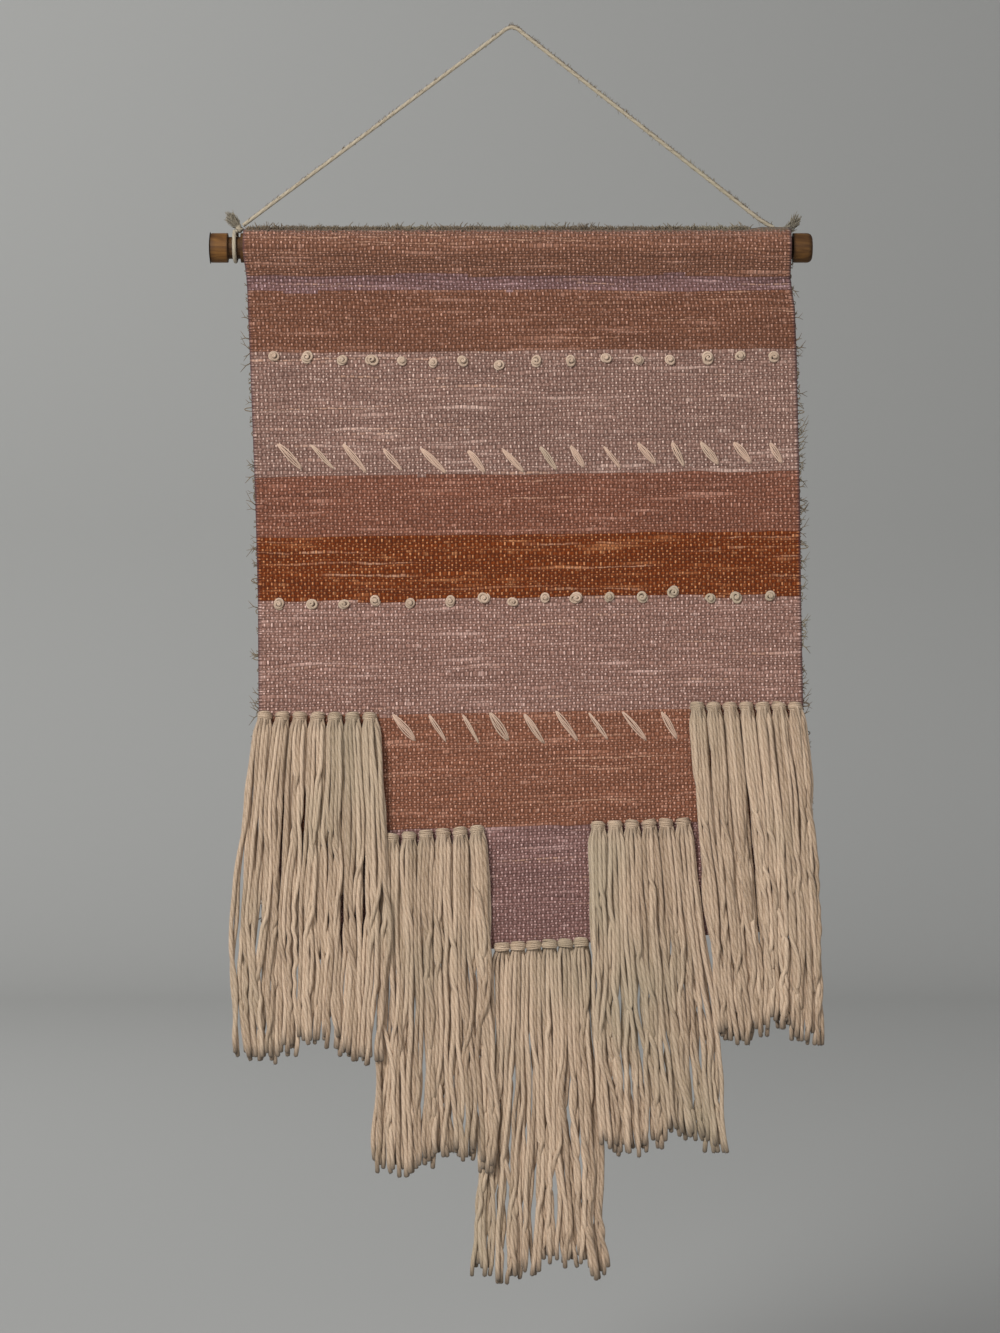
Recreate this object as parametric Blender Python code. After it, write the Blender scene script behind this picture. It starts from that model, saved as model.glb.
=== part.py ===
"""A woven wall hanging on a wooden rod, hung by a cotton cord.

The cloth is one sheet. Its top is folded over the rod and sewn down behind, and French knots stand
on its face in two rows. Five fringes of cotton strands hang from knots in steps down the cloth.
Lengths are in metres. The front faces -Y, +Z is up, and the origin is where the cord is hung.
"""

from math import acos, atan2, cos, hypot, pi, radians, sin, tau
from typing import NamedTuple

import bmesh
import bpy
from mathutils import Matrix, Vector

MM = 0.001

# The rod, a turned dowel
ROD_RADIUS = 11.0 * MM
ROD_LEFT = -226.5 * MM
ROD_RIGHT = 225.0 * MM
ROD_DROP = 164.0 * MM
ROD_SIDES = 28
ROD_ROUNDING_LEFT = 1.8 * MM
ROD_ROUNDING_RIGHT = 3.8 * MM
ROUNDING_STEPS = 3

# Grooves turned in the rod for the cord's ties
GROOVE_RADIUS = 8.2 * MM
GROOVE_SLOPE = 0.4 * MM
LEFT_GROOVE = (-213.0 * MM, -203.2 * MM)
RIGHT_GROOVE = (197.2 * MM, 210.5 * MM)

# The sheet and the fold that holds the rod
CLOTH_THICKNESS = 2.5 * MM
FOLD_CLEARANCE = 0.6 * MM
FOLD_STEPS = 12
SEAM_DROP = 26.0 * MM
FLAP_DROP = 35.0 * MM
LAYER_GAP = 0.8 * MM
SEAM_DEPTH = -1.5 * MM
HUNG_DEPTH = 0.5 * MM
SETTLED_DROP = 120.0 * MM

# The fold's right mouth opens over the tie, and is cut back behind and above it
MOUTH_START = 177.0 * MM
MOUTH_END = 188.0 * MM
MOUTH_RISE = 1.6 * MM
CUT_BACK = 20.0 * MM
CUT_START = 150.0 * MM
CUT_ANGLE_BACK = radians(95.0)
CUT_ANGLE_FRONT = radians(111.0)

# The hem, and the lean of the weft lines towards it
HEM_DROP = 520.4 * MM
LEAN_CENTRE = -7.5 * MM
LEAN_TOP = 0.011
LEAN_HEM = 0.050
LEAN_POWER = 5

# Soft ripples in the hung sheet
RIPPLE_HEIGHT = 0.9 * MM
RIPPLE_WIDTH = 165.0 * MM
RIPPLE_LENGTH = 240.0 * MM
EDGE_CURL = 1.6 * MM

# Rows of the sheet between its seam, its two rows of knots and its hem
ROWS_TO_UPPER_KNOTS = 3
ROWS_TO_LOWER_KNOTS = 7
ROWS_TO_HEM = 6

FRENCH_KNOT_RADIUS = 4.0 * MM
FRENCH_KNOT_HEIGHT = 2.6 * MM

# Fringe strands and the knots that hold them
STRAND_RADIUS = 1.75 * MM
STRAND_ROOT_RADIUS = 1.2 * MM
STRAND_SIDES = 3
STRAND_STEPS = 4
ROOT_PITCH = 3.3 * MM
LAYER_PITCH = 3.1 * MM
ROOT_LAYER_PITCH = 2.5 * MM
STRAND_CLEARANCE = 0.75 * MM
STRAND_SWAY = 0.16 * MM
STRAND_UNEVEN = 3.2 * MM
HEAD_GAP = 0.45 * MM
HEAD_HEIGHT = 7.0 * MM
HEAD_DEPTH = 8.2 * MM
HEAD_WIDTH = 10.4 * MM
HEAD_CHAMFER = 1.7 * MM
HEAD_WAIST = 0.62

# The cord, its ties round the rod and their frayed ends
CORD_RADIUS = 1.5 * MM
CORD_STEP = 8.5 * MM
TIE_GAP = 0.45 * MM
TIE_LIFT = 2.4 * MM
TIE_LIFT_POWER = 10
TIE_SEGMENTS = 24
TIE_SIDES = 6
TIE_KNOT_RADIUS = 3.0 * MM
TAIL_ROOT_RADIUS = 1.3 * MM
TAIL_TIP_RADIUS = 3.3 * MM
TAIL_SIDES = 8


class Edge(NamedTuple):
    """Where the sheet's two selvages run, at a drop below the rod's axis, in millimetres."""

    drop: float
    left: float
    right: float


SELVAGES = (
    Edge(drop=0, left=-201.0, right=208.5),
    Edge(drop=30, left=-198.5, right=209.5),
    Edge(drop=45, left=-198.0, right=212.0),
    Edge(drop=84, left=-196.5, right=213.5),
    Edge(drop=189, left=-192.5, right=216.0),
    Edge(drop=264, left=-190.5, right=216.8),
    Edge(drop=339, left=-190.0, right=218.2),
    Edge(drop=530, left=-187.5, right=221.0),
)


class KnotPair(NamedTuple):
    """One French knot of the upper row and the one under it, in millimetres."""

    upper_across: float
    upper_drop: float
    lower_across: float
    lower_drop: float


FRENCH_KNOTS = (
    KnotPair(-178.5, 81.2, -174.8, 267.2),
    KnotPair(-153.8, 81.9, -150.0, 267.2),
    KnotPair(-127.5, 84.2, -126.0, 267.2),
    KnotPair(-105.0, 84.2, -102.8, 264.9),
    KnotPair(-82.5, 84.9, -76.5, 266.4),
    KnotPair(-59.2, 86.4, -46.5, 264.9),
    KnotPair(-36.8, 84.9, -21.0, 262.7),
    KnotPair(-9.8, 87.9, 0.8, 265.7),
    KnotPair(18.0, 84.9, 24.8, 262.7),
    KnotPair(44.2, 84.9, 48.0, 262.7),
    KnotPair(70.5, 82.7, 72.8, 261.9),
    KnotPair(94.5, 84.2, 97.5, 261.9),
    KnotPair(118.5, 84.2, 120.8, 258.2),
    KnotPair(147.0, 82.7, 148.5, 262.7),
    KnotPair(171.0, 81.2, 168.0, 261.9),
    KnotPair(196.5, 81.9, 193.5, 261.2),
)


class Fringe(NamedTuple):
    """One fringe: its first and last tassel at the knots, halfway down and at the tips, in mm."""

    name: str
    tassels: int
    root_first: float
    root_last: float
    root_drop_first: float
    root_drop_last: float
    middle_first: float
    middle_last: float
    tip_first: float
    tip_last: float
    tip_drop: float
    hangs_from_hem: bool


FRINGES = (
    Fringe("fringe_left", 7, -185.2, -106.5, 350.5, 351.5, -198.5, -112.5, -200.0, -108.8, 606, False),
    Fringe("fringe_middle_left", 6, -90.0, -26.2, 442.0, 436.0, -93.0, -22.5, -96.0, -19.5, 687, False),
    Fringe("fringe_centre", 6, -7.5, 51.8, 524.9, 521.2, -13.5, 57.0, -22.5, 64.5, 766, True),
    Fringe("fringe_middle_right", 6, 64.5, 128.2, 433.0, 430.5, 68.3, 135.0, 74.3, 155.3, 677, False),
    Fringe("fringe_right", 7, 138.8, 212.2, 343.7, 343.7, 155.3, 225.0, 162.0, 229.5, 592, False),
)

# A tassel's strands, counted in steps across it and in layers out from the cloth
TASSEL_STRANDS = (
    (-1.0, 0),
    (0.0, 0),
    (1.0, 0),
    (-0.5, 1),
    (0.5, 1),
    (-1.0, 2),
    (0.0, 2),
    (1.0, 2),
)
TASSEL_LAYERS = 3
CENTRE_DRIFT = 3.6 * MM

# The cord's route from the left knot over the hanging point to the right knot: across, depth, height
CORD_ROUTE = (
    (-0.2019, 0.0015, -0.1470),
    (-0.1900, 0.0014, -0.1381),
    (-0.1700, 0.0013, -0.1232),
    (-0.1450, 0.0011, -0.1047),
    (-0.1200, 0.0009, -0.0861),
    (-0.0950, 0.0007, -0.0675),
    (-0.0700, 0.0005, -0.0488),
    (-0.0450, 0.0003, -0.0301),
    (-0.0250, 0.0002, -0.0152),
    (-0.0100, 0.0001, -0.0040),
    (-0.0045, 0.0000, 0.0001),
    (0.0000, 0.0000, 0.0015),
    (0.0043, 0.0000, 0.0001),
    (0.0095, 0.0001, -0.0040),
    (0.0240, 0.0002, -0.0154),
    (0.0430, 0.0004, -0.0303),
    (0.0670, 0.0006, -0.0492),
    (0.0910, 0.0008, -0.0680),
    (0.1150, 0.0011, -0.0869),
    (0.1400, 0.0014, -0.1065),
    (0.1640, 0.0020, -0.1253),
    (0.1820, 0.0030, -0.1393),
    (0.1900, 0.0036, -0.1448),
    (0.1968, 0.0040, -0.1483),
)

LEFT_TIE_ACROSS = -207.4 * MM
LEFT_KNOT = Vector((-204.6, 1.5, 14.9)) * MM
LEFT_TAIL_TIP = Vector((-211.5, 0.5, 22.5)) * MM
RIGHT_TIE_ACROSS = 200.5 * MM
RIGHT_KNOT = Vector((199.6, 4.0, 13.9)) * MM
RIGHT_TAIL_TIP = Vector((212.5, 3.0, 19.5)) * MM


def clear_scene():
    """Takes every object out of the scene."""
    for old in list(bpy.data.objects):
        bpy.data.objects.remove(old, do_unlink=True)


def finish(name, colour, roughness):
    """Gives a plain material of one colour."""
    material = bpy.data.materials.new(name)
    material.use_nodes = True
    shader = material.node_tree.nodes["Principled BSDF"]
    shader.inputs["Base Color"].default_value = (*colour, 1.0)
    shader.inputs["Roughness"].default_value = roughness
    shader.inputs["Metallic"].default_value = 0.0
    return material


def place(name, bm, material, smooth_angle=None):
    """Makes an object of a finished mesh, and smooths it up to an angle where one is given."""
    bmesh.ops.recalc_face_normals(bm, faces=bm.faces)
    mesh = bpy.data.meshes.new(name)
    bm.to_mesh(mesh)
    bm.free()
    mesh.materials.append(material)
    if smooth_angle is not None:
        mesh.shade_smooth()
        mesh.set_sharp_from_angle(angle=smooth_angle)
    thing = bpy.data.objects.new(name, mesh)
    bpy.context.collection.objects.link(thing)
    return thing


def joined(name, base, additions, material, smooth_angle=None):
    """Unites closed shapes, given as meshes, into one object."""
    body = place(name, base, material)
    for index, shape in enumerate(additions):
        addition = place(f"{name}_addition_{index}", shape, material)
        union = body.modifiers.new("union", "BOOLEAN")
        union.operation = "UNION"
        union.solver = "EXACT"
        union.object = addition
        bpy.context.view_layer.update()
        merged = bpy.data.meshes.new_from_object(body.evaluated_get(bpy.context.evaluated_depsgraph_get()))
        body.modifiers.remove(union)
        body.data = merged
        bpy.data.objects.remove(addition, do_unlink=True)
    if smooth_angle is not None:
        body.data.shade_smooth()
        body.data.set_sharp_from_angle(angle=smooth_angle)
    return body


def ease(value, start, end):
    """Rises softly from 0 at the start to 1 at the end."""
    t = min(max((value - start) / (end - start), 0.0), 1.0)
    return t * t * (3.0 - 2.0 * t)


def mix(first, second, share):
    """Blends two values."""
    return first + (second - first) * share


def selvage_at(drop):
    """Left and right edges of the sheet at a drop below the rod's axis."""
    for upper, lower in zip(SELVAGES, SELVAGES[1:]):
        if drop <= lower.drop * MM:
            break
    share = min(max((drop / MM - upper.drop) / (lower.drop - upper.drop), 0.0), 1.0)
    return mix(upper.left, lower.left, share) * MM, mix(upper.right, lower.right, share) * MM


def leaning_drop(across, drop):
    """A weft line's drop at a place across the sheet, as the lines climb to the right."""
    lean = LEAN_TOP + LEAN_HEM * (drop / HEM_DROP) ** LEAN_POWER
    return drop - lean * ease(drop, SEAM_DROP, SETTLED_DROP) * (across - LEAN_CENTRE)


def cloth_depth(across, drop):
    """Depth of the middle of the hung sheet, with its soft ripples and curled selvages."""
    settled = ease(drop, SEAM_DROP, SETTLED_DROP)
    ripple = sin(tau * across / RIPPLE_WIDTH + 1.1) * sin(pi * drop / RIPPLE_LENGTH)
    ripple += 0.6 * sin(tau * across / (1.7 * RIPPLE_WIDTH) - pi * drop / RIPPLE_LENGTH)
    left, right = selvage_at(drop)
    edge = abs(2.0 * (across - left) / (right - left) - 1.0)
    curl = EDGE_CURL * min(edge, 1.0) ** 8
    return mix(SEAM_DEPTH, HUNG_DEPTH, settled) + settled * (RIPPLE_HEIGHT * ripple - curl)


def rounded_rim(end, rounding, inward):
    """The rod's profile round one rim, from its flat end: place along the rod and radius."""
    profile = []
    for step in range(ROUNDING_STEPS + 1):
        angle = pi / 2 * step / ROUNDING_STEPS
        along = end + inward * rounding * (1.0 - cos(angle))
        profile.append((along, ROD_RADIUS - rounding * (1.0 - sin(angle))))
    return profile


def make_rod(material):
    """The dowel, turned along X: rounded rims, and a groove near each end for the cord's tie."""
    profile = rounded_rim(ROD_LEFT, ROD_ROUNDING_LEFT, inward=1)
    for start, end in (LEFT_GROOVE, RIGHT_GROOVE):
        profile += [(start, ROD_RADIUS), (start + GROOVE_SLOPE, GROOVE_RADIUS)]
        profile += [(end - GROOVE_SLOPE, GROOVE_RADIUS), (end, ROD_RADIUS)]
    profile += reversed(rounded_rim(ROD_RIGHT, ROD_ROUNDING_RIGHT, inward=-1))
    rings = []
    for along, radius in profile:
        ring = []
        for side in range(ROD_SIDES):
            angle = tau * side / ROD_SIDES
            ring.append(Vector((along, radius * cos(angle), radius * sin(angle) - ROD_DROP)))
        rings.append(ring)
    bm = bmesh.new()
    add_ring_tube(bm, rings, closed=False)
    return place("rod", bm, material, smooth_angle=radians(40.0))


def fold_section(across):
    """The sheet's middle line round the rod at one place across it, from the flap to the seam."""
    opening = MOUTH_RISE * ease(across, MOUTH_START, MOUTH_END)
    radius = ROD_RADIUS + FOLD_CLEARANCE + opening + CLOTH_THICKNESS / 2
    back_depth = SEAM_DEPTH + CLOTH_THICKNESS + LAYER_GAP
    angles = []
    for depth in (back_depth, SEAM_DEPTH):
        reach = hypot(depth, SEAM_DROP)
        angles.append((atan2(-SEAM_DROP, depth) % tau, acos(radius / reach)))
    back = angles[0][0] + angles[0][1] - tau
    front = angles[1][0] - angles[1][1]
    line = [(back_depth, -FLAP_DROP, None), (back_depth, -SEAM_DROP, None)]
    for step in range(FOLD_STEPS + 1):
        angle = mix(back, front, step / FOLD_STEPS)
        line.append((radius * cos(angle), radius * sin(angle), angle))
    line.append((SEAM_DEPTH, -SEAM_DROP, None))
    return line


def column_shares():
    """Where the grid's columns stand across the sheet, at the upper and at the lower knots."""
    pairs = []
    for row in ("upper", "lower"):
        drops = [getattr(knot, f"{row}_drop") * MM for knot in FRENCH_KNOTS]
        places = [getattr(knot, f"{row}_across") * MM for knot in FRENCH_KNOTS]
        shares = []
        for across, drop in zip(places, drops):
            left, right = selvage_at(drop)
            shares.append((across - left) / (right - left))
        between = [(a + b) / 2 for a, b in zip(shares, shares[1:])]
        pairs.append(sorted([0.0, 1.0, *shares, *between]))
    return list(zip(*pairs))


def knot_drop_at(row, column):
    """Drop of a row of French knots at a column: on a knot, between two, or at a selvage."""
    drops = [getattr(knot, f"{row}_drop") * MM for knot in FRENCH_KNOTS]
    place_in_row = min(max((column - 1) / 2, 0.0), len(drops) - 1.0)
    low = int(place_in_row)
    high = min(low + 1, len(drops) - 1)
    return mix(drops[low], drops[high], place_in_row - low)


def cut_back_at(angle):
    """How much of the right mouth's cut applies at an angle round the rod, or on the flap."""
    if angle is None:
        return 1.0
    return 1.0 - ease(angle, CUT_ANGLE_BACK, CUT_ANGLE_FRONT)


def sheet_place(column, row, shares):
    """The middle of the sheet at one point of its grid."""
    upper_share, lower_share = shares[column]
    fold_rows = FOLD_STEPS + 4
    if row < fold_rows:
        left, right = selvage_at(0.0)
        across = mix(left, right, upper_share)
        depth, height, angle = fold_section(across)[row]
        cut = 0.0 if row == fold_rows - 1 else cut_back_at(angle)
        across -= CUT_BACK * cut * ease(across, CUT_START, right)
        if cut > 0.0:
            depth, height, angle = fold_section(across)[row]
        return Vector((across, depth, height - ROD_DROP))
    step = row - fold_rows + 1
    upper = knot_drop_at("upper", column)
    lower = knot_drop_at("lower", column)
    knots_down = ROWS_TO_UPPER_KNOTS + ROWS_TO_LOWER_KNOTS
    if step <= ROWS_TO_UPPER_KNOTS:
        drop = mix(SEAM_DROP, upper, step / ROWS_TO_UPPER_KNOTS)
        share = upper_share
    elif step <= knots_down:
        down = (step - ROWS_TO_UPPER_KNOTS) / ROWS_TO_LOWER_KNOTS
        drop = mix(upper, lower, down)
        share = mix(upper_share, lower_share, down)
    else:
        down = (step - knots_down) / ROWS_TO_HEM
        left, right = selvage_at(HEM_DROP)
        hem = leaning_drop(mix(left, right, lower_share), HEM_DROP)
        drop = mix(lower, hem, down)
        share = lower_share
    left, right = selvage_at(drop)
    across = mix(left, right, share)
    return Vector((across, cloth_depth(across, drop), -ROD_DROP - drop))


def make_cloth(material):
    """The woven sheet: a grid bent to its hung form, given its thickness, with knots raised on it."""
    shares = column_shares()
    columns = len(shares)
    rows = FOLD_STEPS + 4 + ROWS_TO_UPPER_KNOTS + ROWS_TO_LOWER_KNOTS + ROWS_TO_HEM
    bm = bmesh.new()
    grid = bmesh.ops.create_grid(bm, x_segments=columns - 1, y_segments=rows - 1, size=1.0)["verts"]
    grid.sort(key=lambda vertex: (round(vertex.co.y, 5), round(vertex.co.x, 5)))
    knots = []
    upper_row = FOLD_STEPS + 3 + ROWS_TO_UPPER_KNOTS
    lower_row = upper_row + ROWS_TO_LOWER_KNOTS
    for index, vertex in enumerate(grid):
        row, column = divmod(index, columns)
        vertex.co = sheet_place(column, row, shares)
        if row in (upper_row, lower_row) and column % 2 == 1:
            knots.append(vertex)
    bmesh.ops.recalc_face_normals(bm, faces=bm.faces)
    if max(bm.faces, key=lambda face: -face.calc_center_median().z).normal.y > 0.0:
        bmesh.ops.reverse_faces(bm, faces=bm.faces)
    bm.normal_update()
    middle = {vertex: (vertex.co.copy(), vertex.normal.copy()) for vertex in bm.verts}
    for vertex, (centre, normal) in middle.items():
        vertex.co = centre + normal * (CLOTH_THICKNESS / 2)
    bmesh.ops.solidify(bm, geom=list(bm.faces), thickness=CLOTH_THICKNESS)
    pads = bmesh.ops.bevel(
        bm, geom=knots, offset=FRENCH_KNOT_RADIUS, segments=1, profile=0.5, affect="VERTICES"
    )["faces"]
    rise = 0.75 * FRENCH_KNOT_HEIGHT
    bmesh.ops.inset_individual(bm, faces=pads, thickness=0.3 * FRENCH_KNOT_RADIUS, depth=rise)
    bmesh.ops.poke(bm, faces=pads, offset=FRENCH_KNOT_HEIGHT - rise)
    bmesh.ops.triangulate(bm, faces=bm.faces)
    return place("cloth", bm, material, smooth_angle=radians(50.0))


def add_ring_tube(bm, rings, closed):
    """Joins rings of points into one tube, either closed on itself or capped at both ends."""
    sides = len(rings[0])
    loops = [[bm.verts.new(point) for point in ring] for ring in rings]
    following = loops[1:] + (loops[:1] if closed else [])
    for upper, lower in zip(loops, following):
        for side in range(sides):
            after = (side + 1) % sides
            bm.faces.new((upper[side], upper[after], lower[after], lower[side]))
    if not closed:
        bm.faces.new(loops[0])
        bm.faces.new(list(reversed(loops[-1])))


def strand_path(fringe, tassel, strand, step_across, layer):
    """The middle points of one strand, from inside its knot to its tip."""
    share = tassel / (fringe.tassels - 1)
    root = mix(fringe.root_first, fringe.root_last, share) * MM
    middle = mix(fringe.middle_first, fringe.middle_last, share) * MM
    tip = mix(fringe.tip_first, fringe.tip_last, share) * MM
    root_drop = mix(fringe.root_drop_first, fringe.root_drop_last, share) * MM
    pitch = abs(fringe.tip_last - fringe.tip_first) / (fringe.tassels - 1) / TASSEL_LAYERS * MM
    uneven = STRAND_UNEVEN * sin(2.4 * tassel + 1.9 * strand + fringe.tip_drop)
    tip_drop = fringe.tip_drop * MM + uneven + 2.2 * STRAND_UNEVEN * sin(1.3 * tassel + 0.4)
    standing = CLOTH_THICKNESS / 2 + STRAND_CLEARANCE + STRAND_RADIUS / 2
    head_depth = CLOTH_THICKNESS / 2 + HEAD_GAP + HEAD_DEPTH / 2
    drift = 0.0
    if fringe.hangs_from_hem:
        standing = -LAYER_PITCH
        head_depth = 0.0
        drift = CENTRE_DRIFT
    points = []
    for step in range(STRAND_STEPS + 1):
        down = step / STRAND_STEPS
        drop = mix(root_drop, tip_drop, down)
        early = (1.0 - down) * (1.0 - 2.0 * down)
        halfway = 4.0 * down * (1.0 - down)
        late = down * (2.0 * down - 1.0)
        across = root * early + middle * halfway + tip * late
        spread = mix(ROOT_PITCH, pitch, ease(down, 0.0, 0.4))
        across += step_across * spread + STRAND_SWAY * sin(3.1 * step + 2.3 * strand + tassel)
        opened = ease(down, 0.0, 0.2)
        out = mix(head_depth + (layer - 1) * ROOT_LAYER_PITCH, standing + layer * LAYER_PITCH, opened)
        out -= drift * ease(down, 0.0, 0.25)
        sheet_drop = min(drop, leaning_drop(across, HEM_DROP))
        points.append(Vector((across, cloth_depth(across, sheet_drop) - out, -ROD_DROP - drop)))
    return points


def strand_mesh(fringe):
    """All strands of one fringe, each a closed three-sided run."""
    bm = bmesh.new()
    for tassel in range(fringe.tassels):
        for strand, (step_across, layer) in enumerate(TASSEL_STRANDS):
            points = strand_path(fringe, tassel, strand, step_across, layer)
            rings = []
            for step, point in enumerate(points):
                radius = STRAND_ROOT_RADIUS if step == 0 else STRAND_RADIUS
                ring = []
                for side in range(STRAND_SIDES):
                    angle = tau * side / STRAND_SIDES - pi / 2
                    ring.append(point + Vector((radius * cos(angle), radius * sin(angle), 0.0)))
                rings.append(ring)
            add_ring_tube(bm, rings, closed=False)
    return bm


def head_section(centre, height, depth):
    """One section of the row of knots: a box outline with its corners cut."""
    chamfer = HEAD_CHAMFER * height / HEAD_HEIGHT
    half_depth, half_height = depth / 2, height / 2
    outline = (
        (-half_depth, half_height - chamfer),
        (-half_depth + chamfer, half_height),
        (half_depth, half_height),
        (half_depth, -half_height),
        (-half_depth + chamfer, -half_height),
        (-half_depth, -half_height + chamfer),
    )
    return [centre + Vector((0.0, out, up)) for out, up in outline]


def head_mesh(fringe):
    """The row of knots as one bar, drawn in between one knot and the next."""
    rings = []
    for tassel in range(fringe.tassels):
        share = tassel / (fringe.tassels - 1)
        across = mix(fringe.root_first, fringe.root_last, share) * MM
        drop = mix(fringe.root_drop_first, fringe.root_drop_last, share) * MM
        pitch = (fringe.root_last - fringe.root_first) / (fringe.tassels - 1) * MM
        for shift, size in ((-HEAD_WIDTH / 2, 1.0), (HEAD_WIDTH / 2, 1.0), (pitch / 2, HEAD_WAIST)):
            if size < 1.0 and tassel == fringe.tassels - 1:
                continue
            sheet_drop = min(drop, leaning_drop(across, HEM_DROP))
            depth = cloth_depth(across + shift, sheet_drop)
            if not fringe.hangs_from_hem:
                depth -= CLOTH_THICKNESS / 2 + HEAD_GAP + HEAD_DEPTH / 2
            centre = Vector((across + shift, depth, -ROD_DROP - drop))
            rings.append(head_section(centre, HEAD_HEIGHT * size, HEAD_DEPTH * size))
    bm = bmesh.new()
    add_ring_tube(bm, rings, closed=False)
    return bm


def make_fringe(fringe, material):
    """One fringe: its row of knots with the strands grown out of it."""
    return joined(fringe.name, head_mesh(fringe), [strand_mesh(fringe)], material)


def tie_ring(across, knot):
    """One turn of cord in the rod's groove, drawn up to its knot."""
    centre = Vector((across, 0.0, -ROD_DROP))
    knot_angle = atan2(knot.z, knot.y)
    rings = []
    for segment in range(TIE_SEGMENTS):
        angle = tau * segment / TIE_SEGMENTS
        lift = TIE_LIFT * max(cos(angle - knot_angle), 0.0) ** TIE_LIFT_POWER
        radius = GROOVE_RADIUS + TIE_GAP + CORD_RADIUS + lift
        out = Vector((0.0, cos(angle), sin(angle)))
        ring = []
        for side in range(TIE_SIDES):
            turn = tau * side / TIE_SIDES
            ring.append(
                centre + out * (radius + CORD_RADIUS * cos(turn)) + Vector((CORD_RADIUS * sin(turn), 0, 0))
            )
        rings.append(ring)
    bm = bmesh.new()
    add_ring_tube(bm, rings, closed=True)
    return bm


def tie_knot(centre):
    """The tightened knot on top of the rod."""
    bm = bmesh.new()
    bmesh.ops.create_icosphere(
        bm, subdivisions=2, radius=TIE_KNOT_RADIUS, matrix=Matrix.Translation(centre)
    )
    return bm


def tie_tail(start, end):
    """The frayed end of the cord, a brush that opens towards its tip."""
    run = end - start
    bm = bmesh.new()
    bmesh.ops.create_cone(
        bm,
        cap_ends=True,
        segments=TAIL_SIDES,
        radius1=TAIL_ROOT_RADIUS,
        radius2=TAIL_TIP_RADIUS,
        depth=run.length,
        matrix=Matrix.Translation((start + end) / 2) @ run.to_track_quat("Z", "X").to_matrix().to_4x4(),
    )
    return bm


def make_tie(name, across, knot, tail_tip, material):
    """One tie: a turn round the rod, its knot and its frayed end."""
    axis = Vector((0.0, 0.0, -ROD_DROP))
    additions = [tie_knot(knot + axis), tie_tail(knot + axis, tail_tip + axis)]
    return joined(name, tie_ring(across, knot), additions, material, smooth_angle=radians(45.0))


def smooth_route(route, spacing):
    """Points at an even spacing on a smooth curve through the route's own points."""
    places = [Vector(point) for point in route]
    fine = []
    for index in range(len(places) - 1):
        before = places[max(index - 1, 0)]
        start, end = places[index], places[index + 1]
        after = places[min(index + 2, len(places) - 1)]
        for part in range(16):
            t = part / 16
            fine.append(
                0.5
                * (
                    2.0 * start
                    + (end - before) * t
                    + (2.0 * before - 5.0 * start + 4.0 * end - after) * t**2
                    + (3.0 * start - before - 3.0 * end + after) * t**3
                )
            )
    fine.append(places[-1])
    lengths = [0.0]
    for start, end in zip(fine, fine[1:]):
        lengths.append(lengths[-1] + (end - start).length)
    count = round(lengths[-1] / spacing)
    even = []
    index = 0
    for step in range(count + 1):
        wanted = lengths[-1] * step / count
        while index < len(fine) - 2 and lengths[index + 1] < wanted:
            index += 1
        share = (wanted - lengths[index]) / (lengths[index + 1] - lengths[index])
        even.append(fine[index].lerp(fine[index + 1], share))
    return even


def make_cord(material):
    """The hanging cord, taut from one knot over the hanging point to the other."""
    points = smooth_route(CORD_ROUTE, CORD_STEP)
    curve = bpy.data.curves.new("hanging_cord", "CURVE")
    curve.dimensions = "3D"
    curve.bevel_depth = CORD_RADIUS
    curve.bevel_resolution = 2
    curve.use_fill_caps = True
    spline = curve.splines.new("POLY")
    spline.points.add(len(points) - 1)
    for point, place_on_route in zip(spline.points, points):
        point.co = (*place_on_route, 1.0)
    curve.materials.append(material)
    thing = bpy.data.objects.new("hanging_cord", curve)
    bpy.context.collection.objects.link(thing)
    return thing


def main():
    """Builds the hanging."""
    clear_scene()
    wood = finish("oiled_wood", (0.17, 0.085, 0.034), 0.5)
    weave = finish("rose_weave", (0.21, 0.105, 0.07), 0.95)
    cotton = finish("cream_cotton", (0.42, 0.31, 0.21), 0.9)
    make_rod(wood)
    make_cloth(weave)
    for fringe in FRINGES:
        make_fringe(fringe, cotton)
    make_tie("tie_left", LEFT_TIE_ACROSS, LEFT_KNOT, LEFT_TAIL_TIP, cotton)
    make_tie("tie_right", RIGHT_TIE_ACROSS, RIGHT_KNOT, RIGHT_TAIL_TIP, cotton)
    make_cord(cotton)


main()
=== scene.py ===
"""The looks of a woven hanging on a wooden rod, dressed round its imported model.

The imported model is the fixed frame, and every soft part is a finer mesh on the form of the solid that
it stands for. Lengths are in metres, the front faces -Y, and the origin is where the cord is hung.
"""

import logging
from collections.abc import Mapping, Sequence
from dataclasses import dataclass, field
from enum import Enum
from math import acos, atan2, ceil, cos, hypot, pi, radians, sin, sqrt, tau
from typing import NamedTuple

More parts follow.
